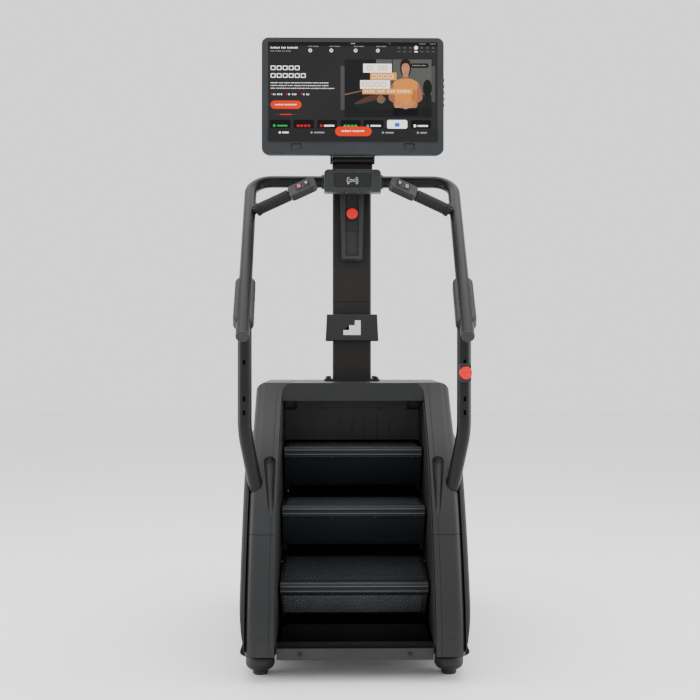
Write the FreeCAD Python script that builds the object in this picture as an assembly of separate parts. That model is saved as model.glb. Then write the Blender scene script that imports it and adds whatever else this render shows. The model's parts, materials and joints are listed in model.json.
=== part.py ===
"""Stair climber: a step mill with three open steps, a rear column, handrails and a screen.

Frame: +X right, +Y the way the user faces, +Z up, origin on the floor under the middle.
All sizes are in millimetres. Pairs are mirrored in the plane X = 0.
"""
import FreeCAD
import Part
import math
import os

Vec = FreeCAD.Vector

# ---- driving dimensions ----
BASE_TOP = 918.0
BASE_BOTTOM = 84.0
PAN_Z = (78.0, 81.0)
WELL_HALF = 248.0
COVER_IN = 251.0
COVER_OUT = 344.0
SKIN_OUT = 362.0
SHELL = 4.0
REAR_TOP_Y = 300.0

STEP_RUN = 145.0
STEP_RISE = 185.0
TREAD_DEPTH = 254.0
TREAD_WIDTH = 480.0
TREAD_PLATE = 14.0
NOSE_HEIGHT = 27.0
STEP_ONE_BACK = (79.0, 692.0)
STEP_THREE_TIP = 10.7
AXLE_DROP = (-14.0, -17.0)

SPROCKET_RADIUS = 61.5
CHAIN_RADIUS = 70.0
CHAIN_HEIGHT = 16.0
CHAIN_X = 276.0
CHAIN_WIDTH = 7.0
SHAFT_RADIUS = 12.5
FIT = 0.05
RUN_GAP = 0.4

COLUMN_WIDTH = 145.0
COLUMN_DEPTH = 100.0
COLUMN_FRONT = 115.0
COLUMN_SEAM = 1214.0
COLUMN_TOP = 1688.0

RAIL_RADIUS = 22.0
CROSSBAR_Y = 45.0
CROSSBAR_Z = 1654.0
RAIL_CORNER_X = 372.0
RAIL_BEND = 75.0
RAIL_END = (350.0, -600.0, 1077.0)
UPRIGHT_RADIUS = 23.0
UPRIGHT_X = 354.0
UPRIGHT_Y = -465.0

SCREEN_WIDTH = 645.0
SCREEN_BOTTOM = 1725.0
SCREEN_TOP = 2140.0
SCREEN_FRONT = -125.0
ACTIVE_WIDTH = 600.0
ACTIVE_BOTTOM = 1772.0
ACTIVE_TOP = 2123.0
HINGE_Y = -15.0
HINGE_Z = 1725.0

FOOT_X = 302.0
FOOT_FRONT_Y = -490.0
FOOT_REAR_Y = 500.0

SLOPE_LENGTH = math.hypot(STEP_RUN, STEP_RISE)
DOWN = (-STEP_RUN / SLOPE_LENGTH, -STEP_RISE / SLOPE_LENGTH)
INWARD = (STEP_RISE / SLOPE_LENGTH, -STEP_RUN / SLOPE_LENGTH)

os.makedirs("parts", exist_ok=True)


# ---- helpers ----
def save(name, shape):
    """Write one node's solids."""
    shape.exportStep("parts/" + name + ".step")


def mirrored(shape):
    """The same piece on the other side of X = 0."""
    return shape.mirror(Vec(0, 0, 0), Vec(1, 0, 0))


def save_pair(name, right):
    """A right-hand piece and its mirror, as two nodes."""
    save(name + "_right", right)
    save(name + "_left", mirrored(right))


def both(right):
    """A right-hand piece and its mirror, as one group of separate solids."""
    return group([right, mirrored(right)])


def group(shapes):
    solids = []
    for shape in shapes:
        solids.extend(shape.Solids)
    return Part.makeCompound(solids)


def box(x, y, z):
    """A block from three (low, high) spans."""
    size = [high - low for low, high in (x, y, z)]
    return Part.makeBox(size[0], size[1], size[2], Vec(x[0], y[0], z[0]))


def rod(start, end, radius):
    start = Vec(*start)
    along = Vec(*end) - start
    return Part.makeCylinder(radius, along.Length, start, along)


def ring(start, end, radius, bore):
    return rod(start, end, radius).cut(rod(start, end, bore))


def slab_x(points, x_low, x_high):
    """A straight-sided outline in the Y-Z plane, carried along X."""
    corners = [Vec(x_low, y, z) for y, z in points]
    wire = Part.makePolygon(corners + [corners[0]])
    return Part.Face(wire).extrude(Vec(x_high - x_low, 0, 0))


def rounded(solid, radius, axis):
    """Round the straight edges that run along one axis."""
    chosen = []
    for edge in solid.Edges:
        if len(edge.Vertexes) != 2:
            continue
        way = edge.Vertexes[1].Point - edge.Vertexes[0].Point
        if way.Length > 1e-6 and abs(way.normalize().dot(axis)) > 0.999:
            chosen.append(edge)
    return solid.makeFillet(radius, chosen)


def soft_box(x, y, z, corner, edge, axis):
    """A block with large corners about one axis and a small round on the other edges."""
    solid = rounded(box(x, y, z), corner, axis)
    return solid.makeFillet(edge, solid.Edges) if edge else solid


def bent_path(points, bend):
    """Straight runs joined by tangent arcs of one radius."""
    edges = []
    here = Vec(*points[0])
    for index in range(1, len(points) - 1):
        corner = Vec(*points[index])
        back = (here - corner).normalize()
        ahead = (Vec(*points[index + 1]) - corner).normalize()
        half = back.getAngle(ahead) / 2.0
        setback = bend / math.tan(half)
        start = corner + back * setback
        end = corner + ahead * setback
        centre = corner + (back + ahead).normalize() * (bend / math.sin(half))
        middle = centre + (corner - centre).normalize() * bend
        edges.append(Part.LineSegment(here, start).toShape())
        edges.append(Part.Arc(start, middle, end).toShape())
        here = end
    edges.append(Part.LineSegment(here, Vec(*points[-1])).toShape())
    return Part.Wire(edges)


def swept_round(points, bend, radius):
    """A round bar that follows a bent path."""
    path = bent_path(points, bend)
    start = Vec(*points[0])
    along = Vec(*points[1]) - start
    circle = Part.Wire(Part.Circle(start, along, radius).toShape())
    return path.makePipeShell([circle], True, False)


def bent_tube(points, bend, radius, wall):
    return swept_round(points, bend, radius).cut(swept_round(points, bend, radius - wall))


def on_slope(origin, along, inward):
    """A Y-Z point that lies down the incline and behind it."""
    return (
        origin[0] + DOWN[0] * along + INWARD[0] * inward,
        origin[1] + DOWN[1] * along + INWARD[1] * inward,
    )


def step_back(number):
    """The top rear corner of a tread."""
    return (
        STEP_ONE_BACK[0] - STEP_RUN * (number - 1),
        STEP_ONE_BACK[1] - STEP_RISE * (number - 1),
    )


def axle_point(number):
    back = step_back(number)
    return (back[0] + AXLE_DROP[0], back[1] + AXLE_DROP[1])


def slope_bar(origin, along, inward, x):
    """A straight bar on the incline, from three (low, high) spans."""
    corners = [
        on_slope(origin, along[0], inward[0]),
        on_slope(origin, along[1], inward[0]),
        on_slope(origin, along[1], inward[1]),
        on_slope(origin, along[0], inward[1]),
    ]
    return slab_x(corners, x[0], x[1])


CHAIN_TOP = on_slope(axle_point(1), -120.0, 0.0)
CHAIN_RUN = 120.0 + 2 * SLOPE_LENGTH + 130.0
CHAIN_LOW = on_slope(CHAIN_TOP, CHAIN_RUN, 0.0)
UPPER_SHAFT = on_slope(CHAIN_TOP, 0.0, CHAIN_RADIUS)
LOWER_SHAFT = on_slope(CHAIN_LOW, 0.0, CHAIN_RADIUS)
ROTOR = (430.0, 420.0)


# ---- base covers ----
def flank_outline(inset):
    """Side view of the base: a convex sloped front, a flat top and a raked back."""
    front = [
        (-618 + inset, BASE_BOTTOM),
        (-612 + inset, 170),
        (-562 + inset, 330),
        (-489 + inset, 486 - inset * 0.4),
        (-339 + inset * 0.8, 700 - inset * 0.8),
        (-190 + inset * 0.6, 832 - inset),
        (-100, BASE_TOP - inset),
    ]
    back = [
        (REAR_TOP_Y, BASE_TOP - inset),
        (466 - inset, 800 - inset * 0.6),
        (583 - inset, 480),
        (619 - inset, 200),
        (609 - inset, BASE_BOTTOM),
    ]
    front_curve = Part.BSplineCurve()
    front_curve.interpolate([Vec(0, y, z) for y, z in front])
    back_curve = Part.BSplineCurve()
    back_curve.interpolate([Vec(0, y, z) for y, z in back])
    top = Part.LineSegment(Vec(0, *front[-1]), Vec(0, *back[0]))
    bottom = Part.LineSegment(Vec(0, *back[-1]), Vec(0, *front[0]))
    return Part.Wire([front_curve.toShape(), top.toShape(), back_curve.toShape(), bottom.toShape()])


def flank_solid(inset, x_low, x_high):
    face = Part.Face(flank_outline(inset))
    face.translate(Vec(x_low, 0, 0))
    return face.extrude(Vec(x_high - x_low, 0, 0))


def outer_rim(solid, x):
    """Edges of a flank that lie in its outer face, above the floor edge."""
    rim = []
    for edge in solid.Edges:
        box_of = edge.BoundBox
        if abs(box_of.XMin - x) < 0.01 and abs(box_of.XMax - x) < 0.01 and box_of.ZMax > BASE_BOTTOM + 1:
            rim.append(edge)
    return rim


SEAM_Z = 445.0
HOOD_CORNER = 42.0
COVER_ROUND = 34.0
ARCH_RADIUS = 684.0
ARCH_CENTRE_Z = 66.0
CROWN_RADIUS = 800.0
CROWN_Z = 262.0
TRIM_X = 267.0
EDGE_X = 332.0
POCKET_LOW = (269.0, -481.0, 510.0)
POCKET_HIGH = (279.0, -372.0, 667.0)
POCKET_RADII = (8.0, 20.0)


def side_covers():
    """Upper and lower front-and-side shells of the right flank."""
    outer = flank_solid(0.0, COVER_IN - 48, COVER_OUT)
    outer = outer.makeFillet(COVER_ROUND, outer_rim(outer, COVER_OUT))
    inner = flank_solid(SHELL, COVER_IN - 60, COVER_OUT - SHELL)
    inner = inner.makeFillet(COVER_ROUND - SHELL, outer_rim(inner, COVER_OUT - SHELL))
    well = rounded(box((-COVER_IN, COVER_IN), (-900, 900), (-100, BASE_TOP + 0.8)), HOOD_CORNER, Vec(0, 1, 0))
    lining = teardrop(POCKET_LOW, POCKET_HIGH, POCKET_RADII, SHELL).common(outer)
    shell = outer.cut(inner).fuse(lining).cut(teardrop(POCKET_LOW, POCKET_HIGH, POCKET_RADII, 0.0))
    shell = shell.cut(well).cut(upright_socket())
    shell = shell.cut(front_groove(TRIM_X, 1.8))
    upper = shell.common(box((0, 500), (-800, 800), (SEAM_Z + 0.6, 1000)))
    lower = shell.common(box((0, 500), (-800, 800), (0, SEAM_Z - 0.6)))
    return upper, lower.cut(front_groove(EDGE_X, 4.6))


def teardrop(start, end, radii, extra):
    """A tapered round bar with ball ends."""
    small, large = [radius + extra for radius in radii]
    along = Vec(*end) - Vec(*start)
    taper = Part.makeCone(small, large, along.Length, Vec(*start), along)
    return taper.fuse([Part.makeSphere(small, Vec(*start)), Part.makeSphere(large, Vec(*end))])


def front_groove(x, depth):
    """A narrow band just under the front surface of a flank."""
    band = flank_solid(0.0, x, x + 2.0).cut(flank_solid(depth, x - 1, x + 3))
    return band.common(box((0, 500), (-700, -96), (0, 1000)))


def side_skin():
    """Bulged outer panel of the right flank, an arch that curves in towards its foot."""
    arch = flank_solid(12.0, COVER_OUT + 0.3, SKIN_OUT)
    arch = arch.common(rod((300, 0, ARCH_CENTRE_Z), (400, 0, ARCH_CENTRE_Z), ARCH_RADIUS))
    arch = arch.common(box((0, 500), (-800, 800), (BASE_BOTTOM + 8, 900)))
    rim = [edge for edge in arch.Edges if edge.BoundBox.XMin > SKIN_OUT - 0.01]
    arch = arch.makeFillet(14.0, rim)
    hollow = flank_solid(24.0, COVER_OUT - 5, SKIN_OUT - SHELL)
    hollow = hollow.common(rod((300, 0, ARCH_CENTRE_Z), (400, 0, ARCH_CENTRE_Z), ARCH_RADIUS - 16))
    hollow = hollow.common(box((0, 500), (-800, 800), (BASE_BOTTOM + 22, 900)))
    arch = arch.cut(outside_crown(0.0))
    hollow = hollow.cut(outside_crown(SHELL))
    return arch.cut(hollow).cut(upright_socket())


def outside_crown(inset):
    """What lies outside the skin's inward curve, below the height where the curve starts."""
    centre = SKIN_OUT - CROWN_RADIUS
    low = box((COVER_OUT - 60, SKIN_OUT + 20), (-900, 900), (0, CROWN_Z))
    return low.cut(rod((centre, -1000, CROWN_Z), (centre, 1000, CROWN_Z), CROWN_RADIUS - inset))


def well_liner():
    """Side plate of the step well with the slot that the step axles run in."""
    plate = flank_solid(14.0, WELL_HALF - 0.5, COVER_IN - 0.5)
    plate = plate.common(box((200, 300), (-800, REAR_TOP_Y), (BASE_BOTTOM + 32, BASE_TOP - 66)))
    slot = slope_bar(axle_point(1), (-14.0, 2 * SLOPE_LENGTH + 90.0), (-11.0, 11.0), (200, 300))
    plate = plate.cut(slot)
    for shaft in (UPPER_SHAFT, LOWER_SHAFT):
        plate = plate.cut(rod((200, *shaft), (300, *shaft), SHAFT_RADIUS + 2))
    return plate


def top_cover():
    """Hood over the rear of the well, with a deep front lip and round upper corners."""
    full = rounded(
        box((-COVER_IN + 0.5, COVER_IN - 0.5), (-140, REAR_TOP_Y), (BASE_TOP - 200, BASE_TOP)),
        HOOD_CORNER,
        Vec(0, 1, 0),
    )
    hood = full.common(box((-400, 400), (-400, 400), (BASE_TOP - 63, BASE_TOP + 10)))
    hollow = rounded(
        box((-COVER_IN + 5, COVER_IN - 5), (-134, REAR_TOP_Y + 9), (BASE_TOP - 200, BASE_TOP - SHELL)),
        HOOD_CORNER - SHELL,
        Vec(0, 1, 0),
    )
    notch = box((-300, 300), (CROSS_Y[0] - 2, CROSS_Y[1] + 2), (CROSS_Z[0] - 100, CROSS_Z[1] + 1))
    return hood.cut(hollow).cut(notch)


KICK_Y = (48.0, 56.0)
KICK_BOLT_X = 103.0
KICK_BOLT_Z = 814.0


def kick_panel():
    """Fixed panel above the top step: upright grooves, tallest in the middle, and open top corners."""
    front, back = KICK_Y
    panel = box((-WELL_HALF + 1, WELL_HALF - 1), KICK_Y, (703, 852))
    side = box((-WELL_HALF, -203), (front - 8, front + 3), (690, 860))
    corner = rounded(box((-WELL_HALF - 20, -203), (front - 8, back + 8), (814, 880)), 9, Vec(0, 1, 0))
    groove_pitch = 46.0
    groove_tops = (802.0, 802.0, 782.0, 764.0, 748.0)
    for index in range(-4, 5):
        x = index * groove_pitch
        top = groove_tops[abs(index)]
        panel = panel.cut(box((x - 2.5, x + 2.5), (front - 8, front + 4), (703, top)))
    ledge = rounded(box((-116, 116), (front - 4, front + 1), (KICK_BOLT_Z - 6, KICK_BOLT_Z + 6)), 3, Vec(0, 1, 0))
    panel = panel.fuse(ledge)
    for x in (-KICK_BOLT_X, KICK_BOLT_X):
        panel = panel.cut(rod((x, front - 8, KICK_BOLT_Z), (x, back + 4, KICK_BOLT_Z), 3.2))
    panel = panel.cut([side, mirrored(side), corner, mirrored(corner)])
    backing = box((-WELL_HALF + 1, WELL_HALF - 1), (back + 22, back + 25), (790, 854))
    tie = box((-200, 200), (back - 1, back + 24), (848, 852))
    return panel.fuse([backing, tie]).removeSplitter()


def rear_cover():
    """Raked back shell between the two flanks, with an opening for the inlet."""
    shell = flank_solid(0.0, -COVER_IN + 0.5, COVER_IN - 0.5)
    shell = shell.cut(flank_solid(SHELL, -COVER_IN - 5, COVER_IN + 5))
    limit = box((-COVER_IN + 0.5, COVER_IN - 0.5), (REAR_TOP_Y + 0.5, 900), (BASE_BOTTOM + 5, BASE_TOP + 0.2))
    top_edges = [edge for edge in limit.Edges if edge.BoundBox.ZMin > BASE_TOP and edge.BoundBox.YLength > 100]
    shell = shell.common(limit.makeFillet(HOOD_CORNER, top_edges))
    return shell.cut(box(INLET_X, (500, 700), INLET_Z))


INLET_X = (-150.0, -90.0)
INLET_Z = (150.0, 190.0)
PANEL_Y = -590.0
PANEL_Z = (68.0, 104.0)
PANEL_BOLT_X = 172.0
PANEL_BOLT_Z = 86.0


def bottom_pan():
    """Floor sheet of the base, out to its rounded corners, with a guard behind the front panel."""
    pan = rounded(box((-SKIN_OUT - 2, SKIN_OUT + 2), (-612, 606), PAN_Z), 86.0, Vec(0, 0, 1))
    mouth = box((-COVER_IN, COVER_IN), (-650, -560), (0, 200))
    guard = rounded(box((-236, 236), (-470, -467), (PAN_Z[0], 150)), 24.0, Vec(0, 1, 0))
    guard = guard.fuse(box((-236, 236), (-470, -467), (PAN_Z[0], 115)))
    return pan.cut(mouth).fuse(guard).removeSplitter()


def front_panel():
    """Folded cross panel under the steps, drilled for two bolts."""
    width = (-WELL_HALF + 3, WELL_HALF - 3)
    panel = box(width, (PANEL_Y, PANEL_Y + 4), PANEL_Z)
    flange = box(width, (PANEL_Y, PANEL_Y + 26), (PANEL_Z[0], PANEL_Z[0] + 3))
    panel = panel.fuse(flange).removeSplitter()
    for x in (-PANEL_BOLT_X, PANEL_BOLT_X):
        hole = rod((x, PANEL_Y - 10, PANEL_BOLT_Z), (x, PANEL_Y + 10, PANEL_BOLT_Z), 4.1)
        panel = panel.cut(hole)
    return panel


# ---- base frame ----
RAIL_BOX = 44.0
RAIL_LOW = PAN_Z[1] + 1.0
RAIL_TOP = RAIL_LOW + RAIL_BOX
PLATE_X = (288.0, 293.0)
CROSS_Y = (140.0, 200.0)
CROSS_Z = (872.0, 912.0)


def side_frame():
    """Right half: floor rail, rear post, incline plate and the two tracks its rollers run between."""
    low = RAIL_LOW
    rail = box((290, 290 + RAIL_BOX), (-570, 590), (low, RAIL_TOP))
    outline = [
        (-330, low + 10),
        (-180, low + 10),
        on_slope(CHAIN_LOW, -40, 150),
        on_slope(CHAIN_TOP, 60, 150),
        (250, 880),
        (110, 880),
        on_slope(CHAIN_TOP, 20, -26),
        on_slope(CHAIN_LOW, 20, -26),
    ]
    plate = slab_x(outline, *PLATE_X)
    for shaft in (UPPER_SHAFT, LOWER_SHAFT):
        plate = plate.cut(rod((270, *shaft), (310, *shaft), SHAFT_RADIUS + 2))
    tracks = []
    for gap in ((-24.0, -18.5), (18.5, 24.0)):
        tracks.append(slope_bar(axle_point(1), (-20.0, 2 * SLOPE_LENGTH + 75.0), gap, (254, PLATE_X[0] + 1)))
    top = box((290, 320), (110, 250), (870, 904))
    rear_post = box((296, 330), (548, 582), (RAIL_TOP - 1, 300))
    arm = box((296, 330), (400, 560), (270, 300))
    return rail.fuse([plate, top, rear_post, arm] + tracks)


def base_frame():
    """Welded frame: two side frames joined by cross tubes."""
    side = side_frame()
    pieces = [side, mirrored(side)]
    pieces.append(box((-292, 292), CROSS_Y, CROSS_Z))
    pieces.append(box((-292, 292), (520, 560), (RAIL_LOW, RAIL_TOP)))
    pieces.append(box((-292, 292), (-560, -520), (RAIL_LOW, RAIL_LOW + 26)))
    return pieces[0].fuse(pieces[1:]).removeSplitter()


def bearing(x, shaft):
    """Square flange bearing on the outside of an incline plate."""
    half = 30.0
    span_y = (shaft[0] - half, shaft[0] + half)
    span_z = (shaft[1] - half, shaft[1] + half)
    block = rounded(box((x, x + 14), span_y, span_z), 12, Vec(1, 0, 0))
    return block.cut(rod((x - 5, *shaft), (x + 20, *shaft), SHAFT_RADIUS + FIT))


def shaft_bearings():
    right = [bearing(PLATE_X[1] + 0.02, UPPER_SHAFT), bearing(PLATE_X[1] + 0.02, LOWER_SHAFT)]
    return both(group(right))


def chain_loop(radius):
    """Side outline of the chain loop at one distance from the shaft centres."""
    offset = radius - CHAIN_RADIUS
    a = on_slope(CHAIN_TOP, 0, -offset)
    b = on_slope(CHAIN_LOW, 0, -offset)
    c = on_slope(LOWER_SHAFT, 0, radius)
    d = on_slope(UPPER_SHAFT, 0, radius)
    low_mid = on_slope(LOWER_SHAFT, radius, 0)
    top_mid = on_slope(UPPER_SHAFT, -radius, 0)
    edges = [
        Part.LineSegment(Vec(0, *a), Vec(0, *b)).toShape(),
        Part.Arc(Vec(0, *b), Vec(0, *low_mid), Vec(0, *c)).toShape(),
        Part.LineSegment(Vec(0, *c), Vec(0, *d)).toShape(),
        Part.Arc(Vec(0, *d), Vec(0, *top_mid), Vec(0, *a)).toShape(),
    ]
    return Part.Face(Part.Wire(edges))


def step_chains():
    half = CHAIN_HEIGHT / 2
    loop = chain_loop(CHAIN_RADIUS + half).cut(chain_loop(CHAIN_RADIUS - half))
    right = loop.extrude(Vec(CHAIN_WIDTH, 0, 0))
    right.translate(Vec(CHAIN_X, 0, 0))
    return both(right)


def sprocket(shaft):
    """Toothed wheel inside the chain loop."""
    teeth = 18
    points = []
    for index in range(teeth * 2):
        radius = SPROCKET_RADIUS if index % 2 else SPROCKET_RADIUS - 7
        angle = math.pi * index / teeth
        points.append((shaft[0] + radius * math.cos(angle), shaft[1] + radius * math.sin(angle)))
    return slab_x(points, CHAIN_X + 0.5, CHAIN_X + CHAIN_WIDTH - 0.5)


PULLEY_X = (312.0, 328.0)
BELT_X = (314.0, 326.0)
DRIVE_RADIUS = 110.0
ROTOR_PULLEY = 28.0
BELT_THICK = 3.5


def drive_shaft(shaft, pulley):
    """A cross shaft with its two sprockets, and on the upper one the drive pulley."""
    end = PULLEY_X[1] + 4 if pulley else PLATE_X[1] + 20
    body = rod((-PLATE_X[1] - 20, *shaft), (end, *shaft), SHAFT_RADIUS)
    body = body.fuse([sprocket(shaft), mirrored(sprocket(shaft))])
    if pulley:
        wheel = rod((PULLEY_X[0], *shaft), (PULLEY_X[1], *shaft), DRIVE_RADIUS)
        for index in range(5):
            angle = 2 * math.pi * index / 5
            centre = (shaft[0] + 66 * math.cos(angle), shaft[1] + 66 * math.sin(angle))
            wheel = wheel.cut(rod((300, *centre), (340, *centre), 24))
        body = body.fuse(wheel)
    return body


def belt_outline(extra):
    """Outer tangent loop about the drive pulley and the rotor pulley."""
    first = Vec(0, *UPPER_SHAFT)
    second = Vec(0, *ROTOR)
    r_one = DRIVE_RADIUS + extra
    r_two = ROTOR_PULLEY + extra
    span = second - first
    lean = math.acos((r_one - r_two) / span.Length)
    heading = math.atan2(span.z, span.y)
    hits = []
    for sign in (1, -1):
        way = Vec(0, math.cos(heading + sign * lean), math.sin(heading + sign * lean))
        hits.append((first + way * r_one, second + way * r_two))
    far_one = first - Vec(span).normalize() * r_one
    far_two = second + Vec(span).normalize() * r_two
    edges = [
        Part.LineSegment(hits[0][0], hits[0][1]).toShape(),
        Part.Arc(hits[0][1], far_two, hits[1][1]).toShape(),
        Part.LineSegment(hits[1][1], hits[1][0]).toShape(),
        Part.Arc(hits[1][0], far_one, hits[0][0]).toShape(),
    ]
    return Part.Face(Part.Wire(edges))


def drive_belt():
    loop = belt_outline(RUN_GAP + BELT_THICK).cut(belt_outline(RUN_GAP))
    belt = loop.extrude(Vec(BELT_X[1] - BELT_X[0], 0, 0))
    belt.translate(Vec(BELT_X[0], 0, 0))
    return belt


def brake_rotor():
    """Flywheel rotor of the brake on its shaft with the small pulley."""
    shaft = rod((110, *ROTOR), (PULLEY_X[1] + 2, *ROTOR), 10)
    pulley = rod((PULLEY_X[0], *ROTOR), (PULLEY_X[1], *ROTOR), ROTOR_PULLEY)
    wheel = rod((226, *ROTOR), (262, *ROTOR), 120)
    groove = ring((220, *ROTOR), (234, *ROTOR), 98, 40)
    return shaft.fuse([pulley, wheel]).cut(groove)


def brake_housing():
    """Stator and bracket of the brake, carried on the floor rails."""
    can = rod((120, *ROTOR), (218, *ROTOR), 90)
    foot = box((124, 214), (ROTOR[0] - 50, ROTOR[0] + 50), (115, ROTOR[1]))
    base = box((110, 228), (ROTOR[0] - 70, ROTOR[0] + 70), (PAN_Z[1] + 0.05, 116))
    bore = rod((90, *ROTOR), (250, *ROTOR), 10 + FIT)
    return can.fuse([foot, base]).cut(bore).removeSplitter()


def controller_box():
    """Power and control box with its mains inlet at the back."""
    case = rounded(box((-220, -40), (410, 560), (RAIL_TOP + 0.05, 240)), 6, Vec(0, 1, 0))
    tunnel = box((INLET_X[0] + 0.5, INLET_X[1] - 0.5), (555, 608), (INLET_Z[0] + 0.5, INLET_Z[1] - 0.5))
    recess = box((INLET_X[0] + 12, INLET_X[1] - 12), (588, 640), (INLET_Z[0] + 8, INLET_Z[1] - 8))
    return case.fuse(tunnel).cut(recess)


# ---- steps ----
def tipped(shape, number):
    """The lowest step already leans forward about its axle."""
    if number == 3:
        axle = axle_point(number)
        shape.rotate(Vec(0, *axle), Vec(1, 0, 0), STEP_THREE_TIP)
    return shape


def tread(number):
    """Ribbed tread with a deep rounded nose and a boss for the axle."""
    y, z = step_back(number)
    half = TREAD_WIDTH / 2
    plate = box((-half, half), (y - TREAD_DEPTH + 10, y), (z - TREAD_PLATE, z))
    nose = box((-half, half), (y - TREAD_DEPTH, y - TREAD_DEPTH + 30), (z - NOSE_HEIGHT, z))
    nose = rounded(nose, 7.0, Vec(1, 0, 0))
    axle = axle_point(number)
    boss = rod((-half, *axle), (half, *axle), 13.0)
    solid = plate.fuse([nose, boss])
    for index in range(-3, 4):
        x = index * 70.0
        solid = solid.fuse(box((x - 3, x + 3), (y - TREAD_DEPTH + 20, y - 12), (z - 24, z - 5)))
    solid = solid.cut(rod((-half - 5, *axle), (half + 5, *axle), 7.0 + FIT))
    return tipped(solid.removeSplitter(), number)


def riser(number):
    """Folded riser that slants back under the tread, with arms to the next axle."""
    y, z = step_back(number)
    half = TREAD_WIDTH / 2
    outline = [
        (y - 246, z - NOSE_HEIGHT - 0.05),
        (y - 240, z - NOSE_HEIGHT - 0.05),
        (y - 159, z - 140),
        (y - 166, z - 140),
    ]
    sheet = slab_x(outline, -half, half)
    lip = box((-half, half), (y - 248, y - 226), (z - NOSE_HEIGHT - 5, z - NOSE_HEIGHT - 0.05))
    arm_side = [(y - 172, z - 128), (y - 150, z - 128), (y - 146, z - 158), (y - 160, z - 158)]
    arms = [slab_x(arm_side, x, x + 12) for x in (-half, half - 12)]
    return tipped(sheet.fuse([lip] + arms).removeSplitter(), number)


def axle(number):
    """Cross axle with a roller on each end."""
    point = axle_point(number)
    bar = rod((-274, *point), (274, *point), 7.0)
    roller = rod((256, *point), (270, *point), 18.0)
    return bar.fuse([roller, mirrored(roller)])


def return_steps():
    """Three folded steps on the return run, lapped like shingles."""
    pieces = []
    low = on_slope(CHAIN_LOW, 0, 2 * CHAIN_RADIUS)
    lap = 8.0
    for number in range(3):
        centre = on_slope(low, -(140.0 + SLOPE_LENGTH * number), 36.0)
        width = (-TREAD_WIDTH / 2, TREAD_WIDTH / 2)
        slab = slope_bar(centre, (-125.0, 125.0), (-6.0, 6.0), width)
        sheet = slope_bar(centre, (-100.0, 40.0), (8.0, 11.0), width)
        for solid in (slab, sheet):
            solid.rotate(Vec(0, *centre), Vec(1, 0, 0), lap)
            pieces.append(solid)
    return group(pieces)


# ---- column, console and accent ----
def column_lower():
    half = COLUMN_WIDTH / 2
    back = COLUMN_FRONT + COLUMN_DEPTH
    outer = rounded(box((-half, half), (COLUMN_FRONT, back), (BASE_TOP + 8, COLUMN_SEAM - 1)), 10, Vec(0, 0, 1))
    inner = box((-half + 5, half - 5), (COLUMN_FRONT + 5, back - 5), (BASE_TOP + 8, COLUMN_SEAM))
    flange = rounded(box((-104, 104), (80, 250), (BASE_TOP + 0.05, BASE_TOP + 8)), 14, Vec(0, 0, 1))
    post = outer.cut(inner).fuse(flange).removeSplitter()
    for x in (-88.0, 88.0):
        for y in (98.0, 232.0):
            post = post.cut(rod((x, y, 900), (x, y, 930), 6.6))
    return post


def column_upper():
    half = COLUMN_WIDTH / 2
    back = COLUMN_FRONT + COLUMN_DEPTH
    wall = 5.0
    slip = wall + 0.1
    front = COLUMN_FRONT
    outer = rounded(box((-half, half), (front, back), (COLUMN_SEAM + 1, COLUMN_TOP)), 10, Vec(0, 0, 1))
    inner = box((-half + wall, half - wall), (front + wall, back - wall), (COLUMN_SEAM, COLUMN_TOP - 6))
    spigot = box((-half + slip, half - slip), (front + slip, back - slip), (COLUMN_SEAM - 60, COLUMN_SEAM + 30))
    core = box((-half + 10, half - 10), (front + 10, back - 10), (COLUMN_SEAM - 70, COLUMN_SEAM + 40))
    weld = box((-half + slip, half - slip), (front + 4, front + 8), (COLUMN_SEAM + 10, COLUMN_SEAM + 30))
    return outer.cut(inner).fuse([spigot.cut(core), weld]).removeSplitter()


def accent_plate():
    """Wrap-round plate on the column, a little wider at its foot."""
    top_half = 94.0
    low_half = 99.0
    front = 72.0
    corners = [(-low_half, 1067), (low_half, 1067), (top_half, 1167), (-top_half, 1167)]
    wire = Part.makePolygon([Vec(x, front, z) for x, z in corners + corners[:1]])
    block = Part.Face(wire).extrude(Vec(0, 90, 0))
    block = block.makeFillet(5.0, [edge for edge in block.Edges if edge.BoundBox.YMax < front + 0.01])
    hollow = box((-88, 88), (front + 5, 300), (1072, 1162))
    column = box((-COLUMN_WIDTH / 2 - 0.1, COLUMN_WIDTH / 2 + 0.1), (COLUMN_FRONT - 0.1, 300), (1000, 1200))
    return block.cut(hollow).cut(column)


STOP_Z = 1538.0
BOX_LOW = 1602.0
BOX_TOP = 1684.0
BOX_FRONT = -65.0


def console_post():
    """Tapered housing on the column with a sunk channel for the stop button."""
    corners = [(-38, 1366), (38, 1366), (45, 1626), (-45, 1626)]
    front = 62.0
    wire = Part.makePolygon([Vec(x, front, z) for x, z in corners + corners[:1]])
    block = Part.Face(wire).extrude(Vec(0, COLUMN_FRONT - front - 0.05, 0))
    low_edges = [edge for edge in block.Edges if edge.BoundBox.ZMax < 1367 and edge.BoundBox.YMax < front + 0.1]
    block = block.makeFillet(16.0, low_edges)
    channel = rounded(box((-24.5, 24.5), (front - 5, front + 16), (1382, 1700)), 8, Vec(0, 1, 0))
    block = block.cut(channel)
    return block.cut(rod((0, front, STOP_Z), (0, front + 46, STOP_Z), 9.0))


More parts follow.
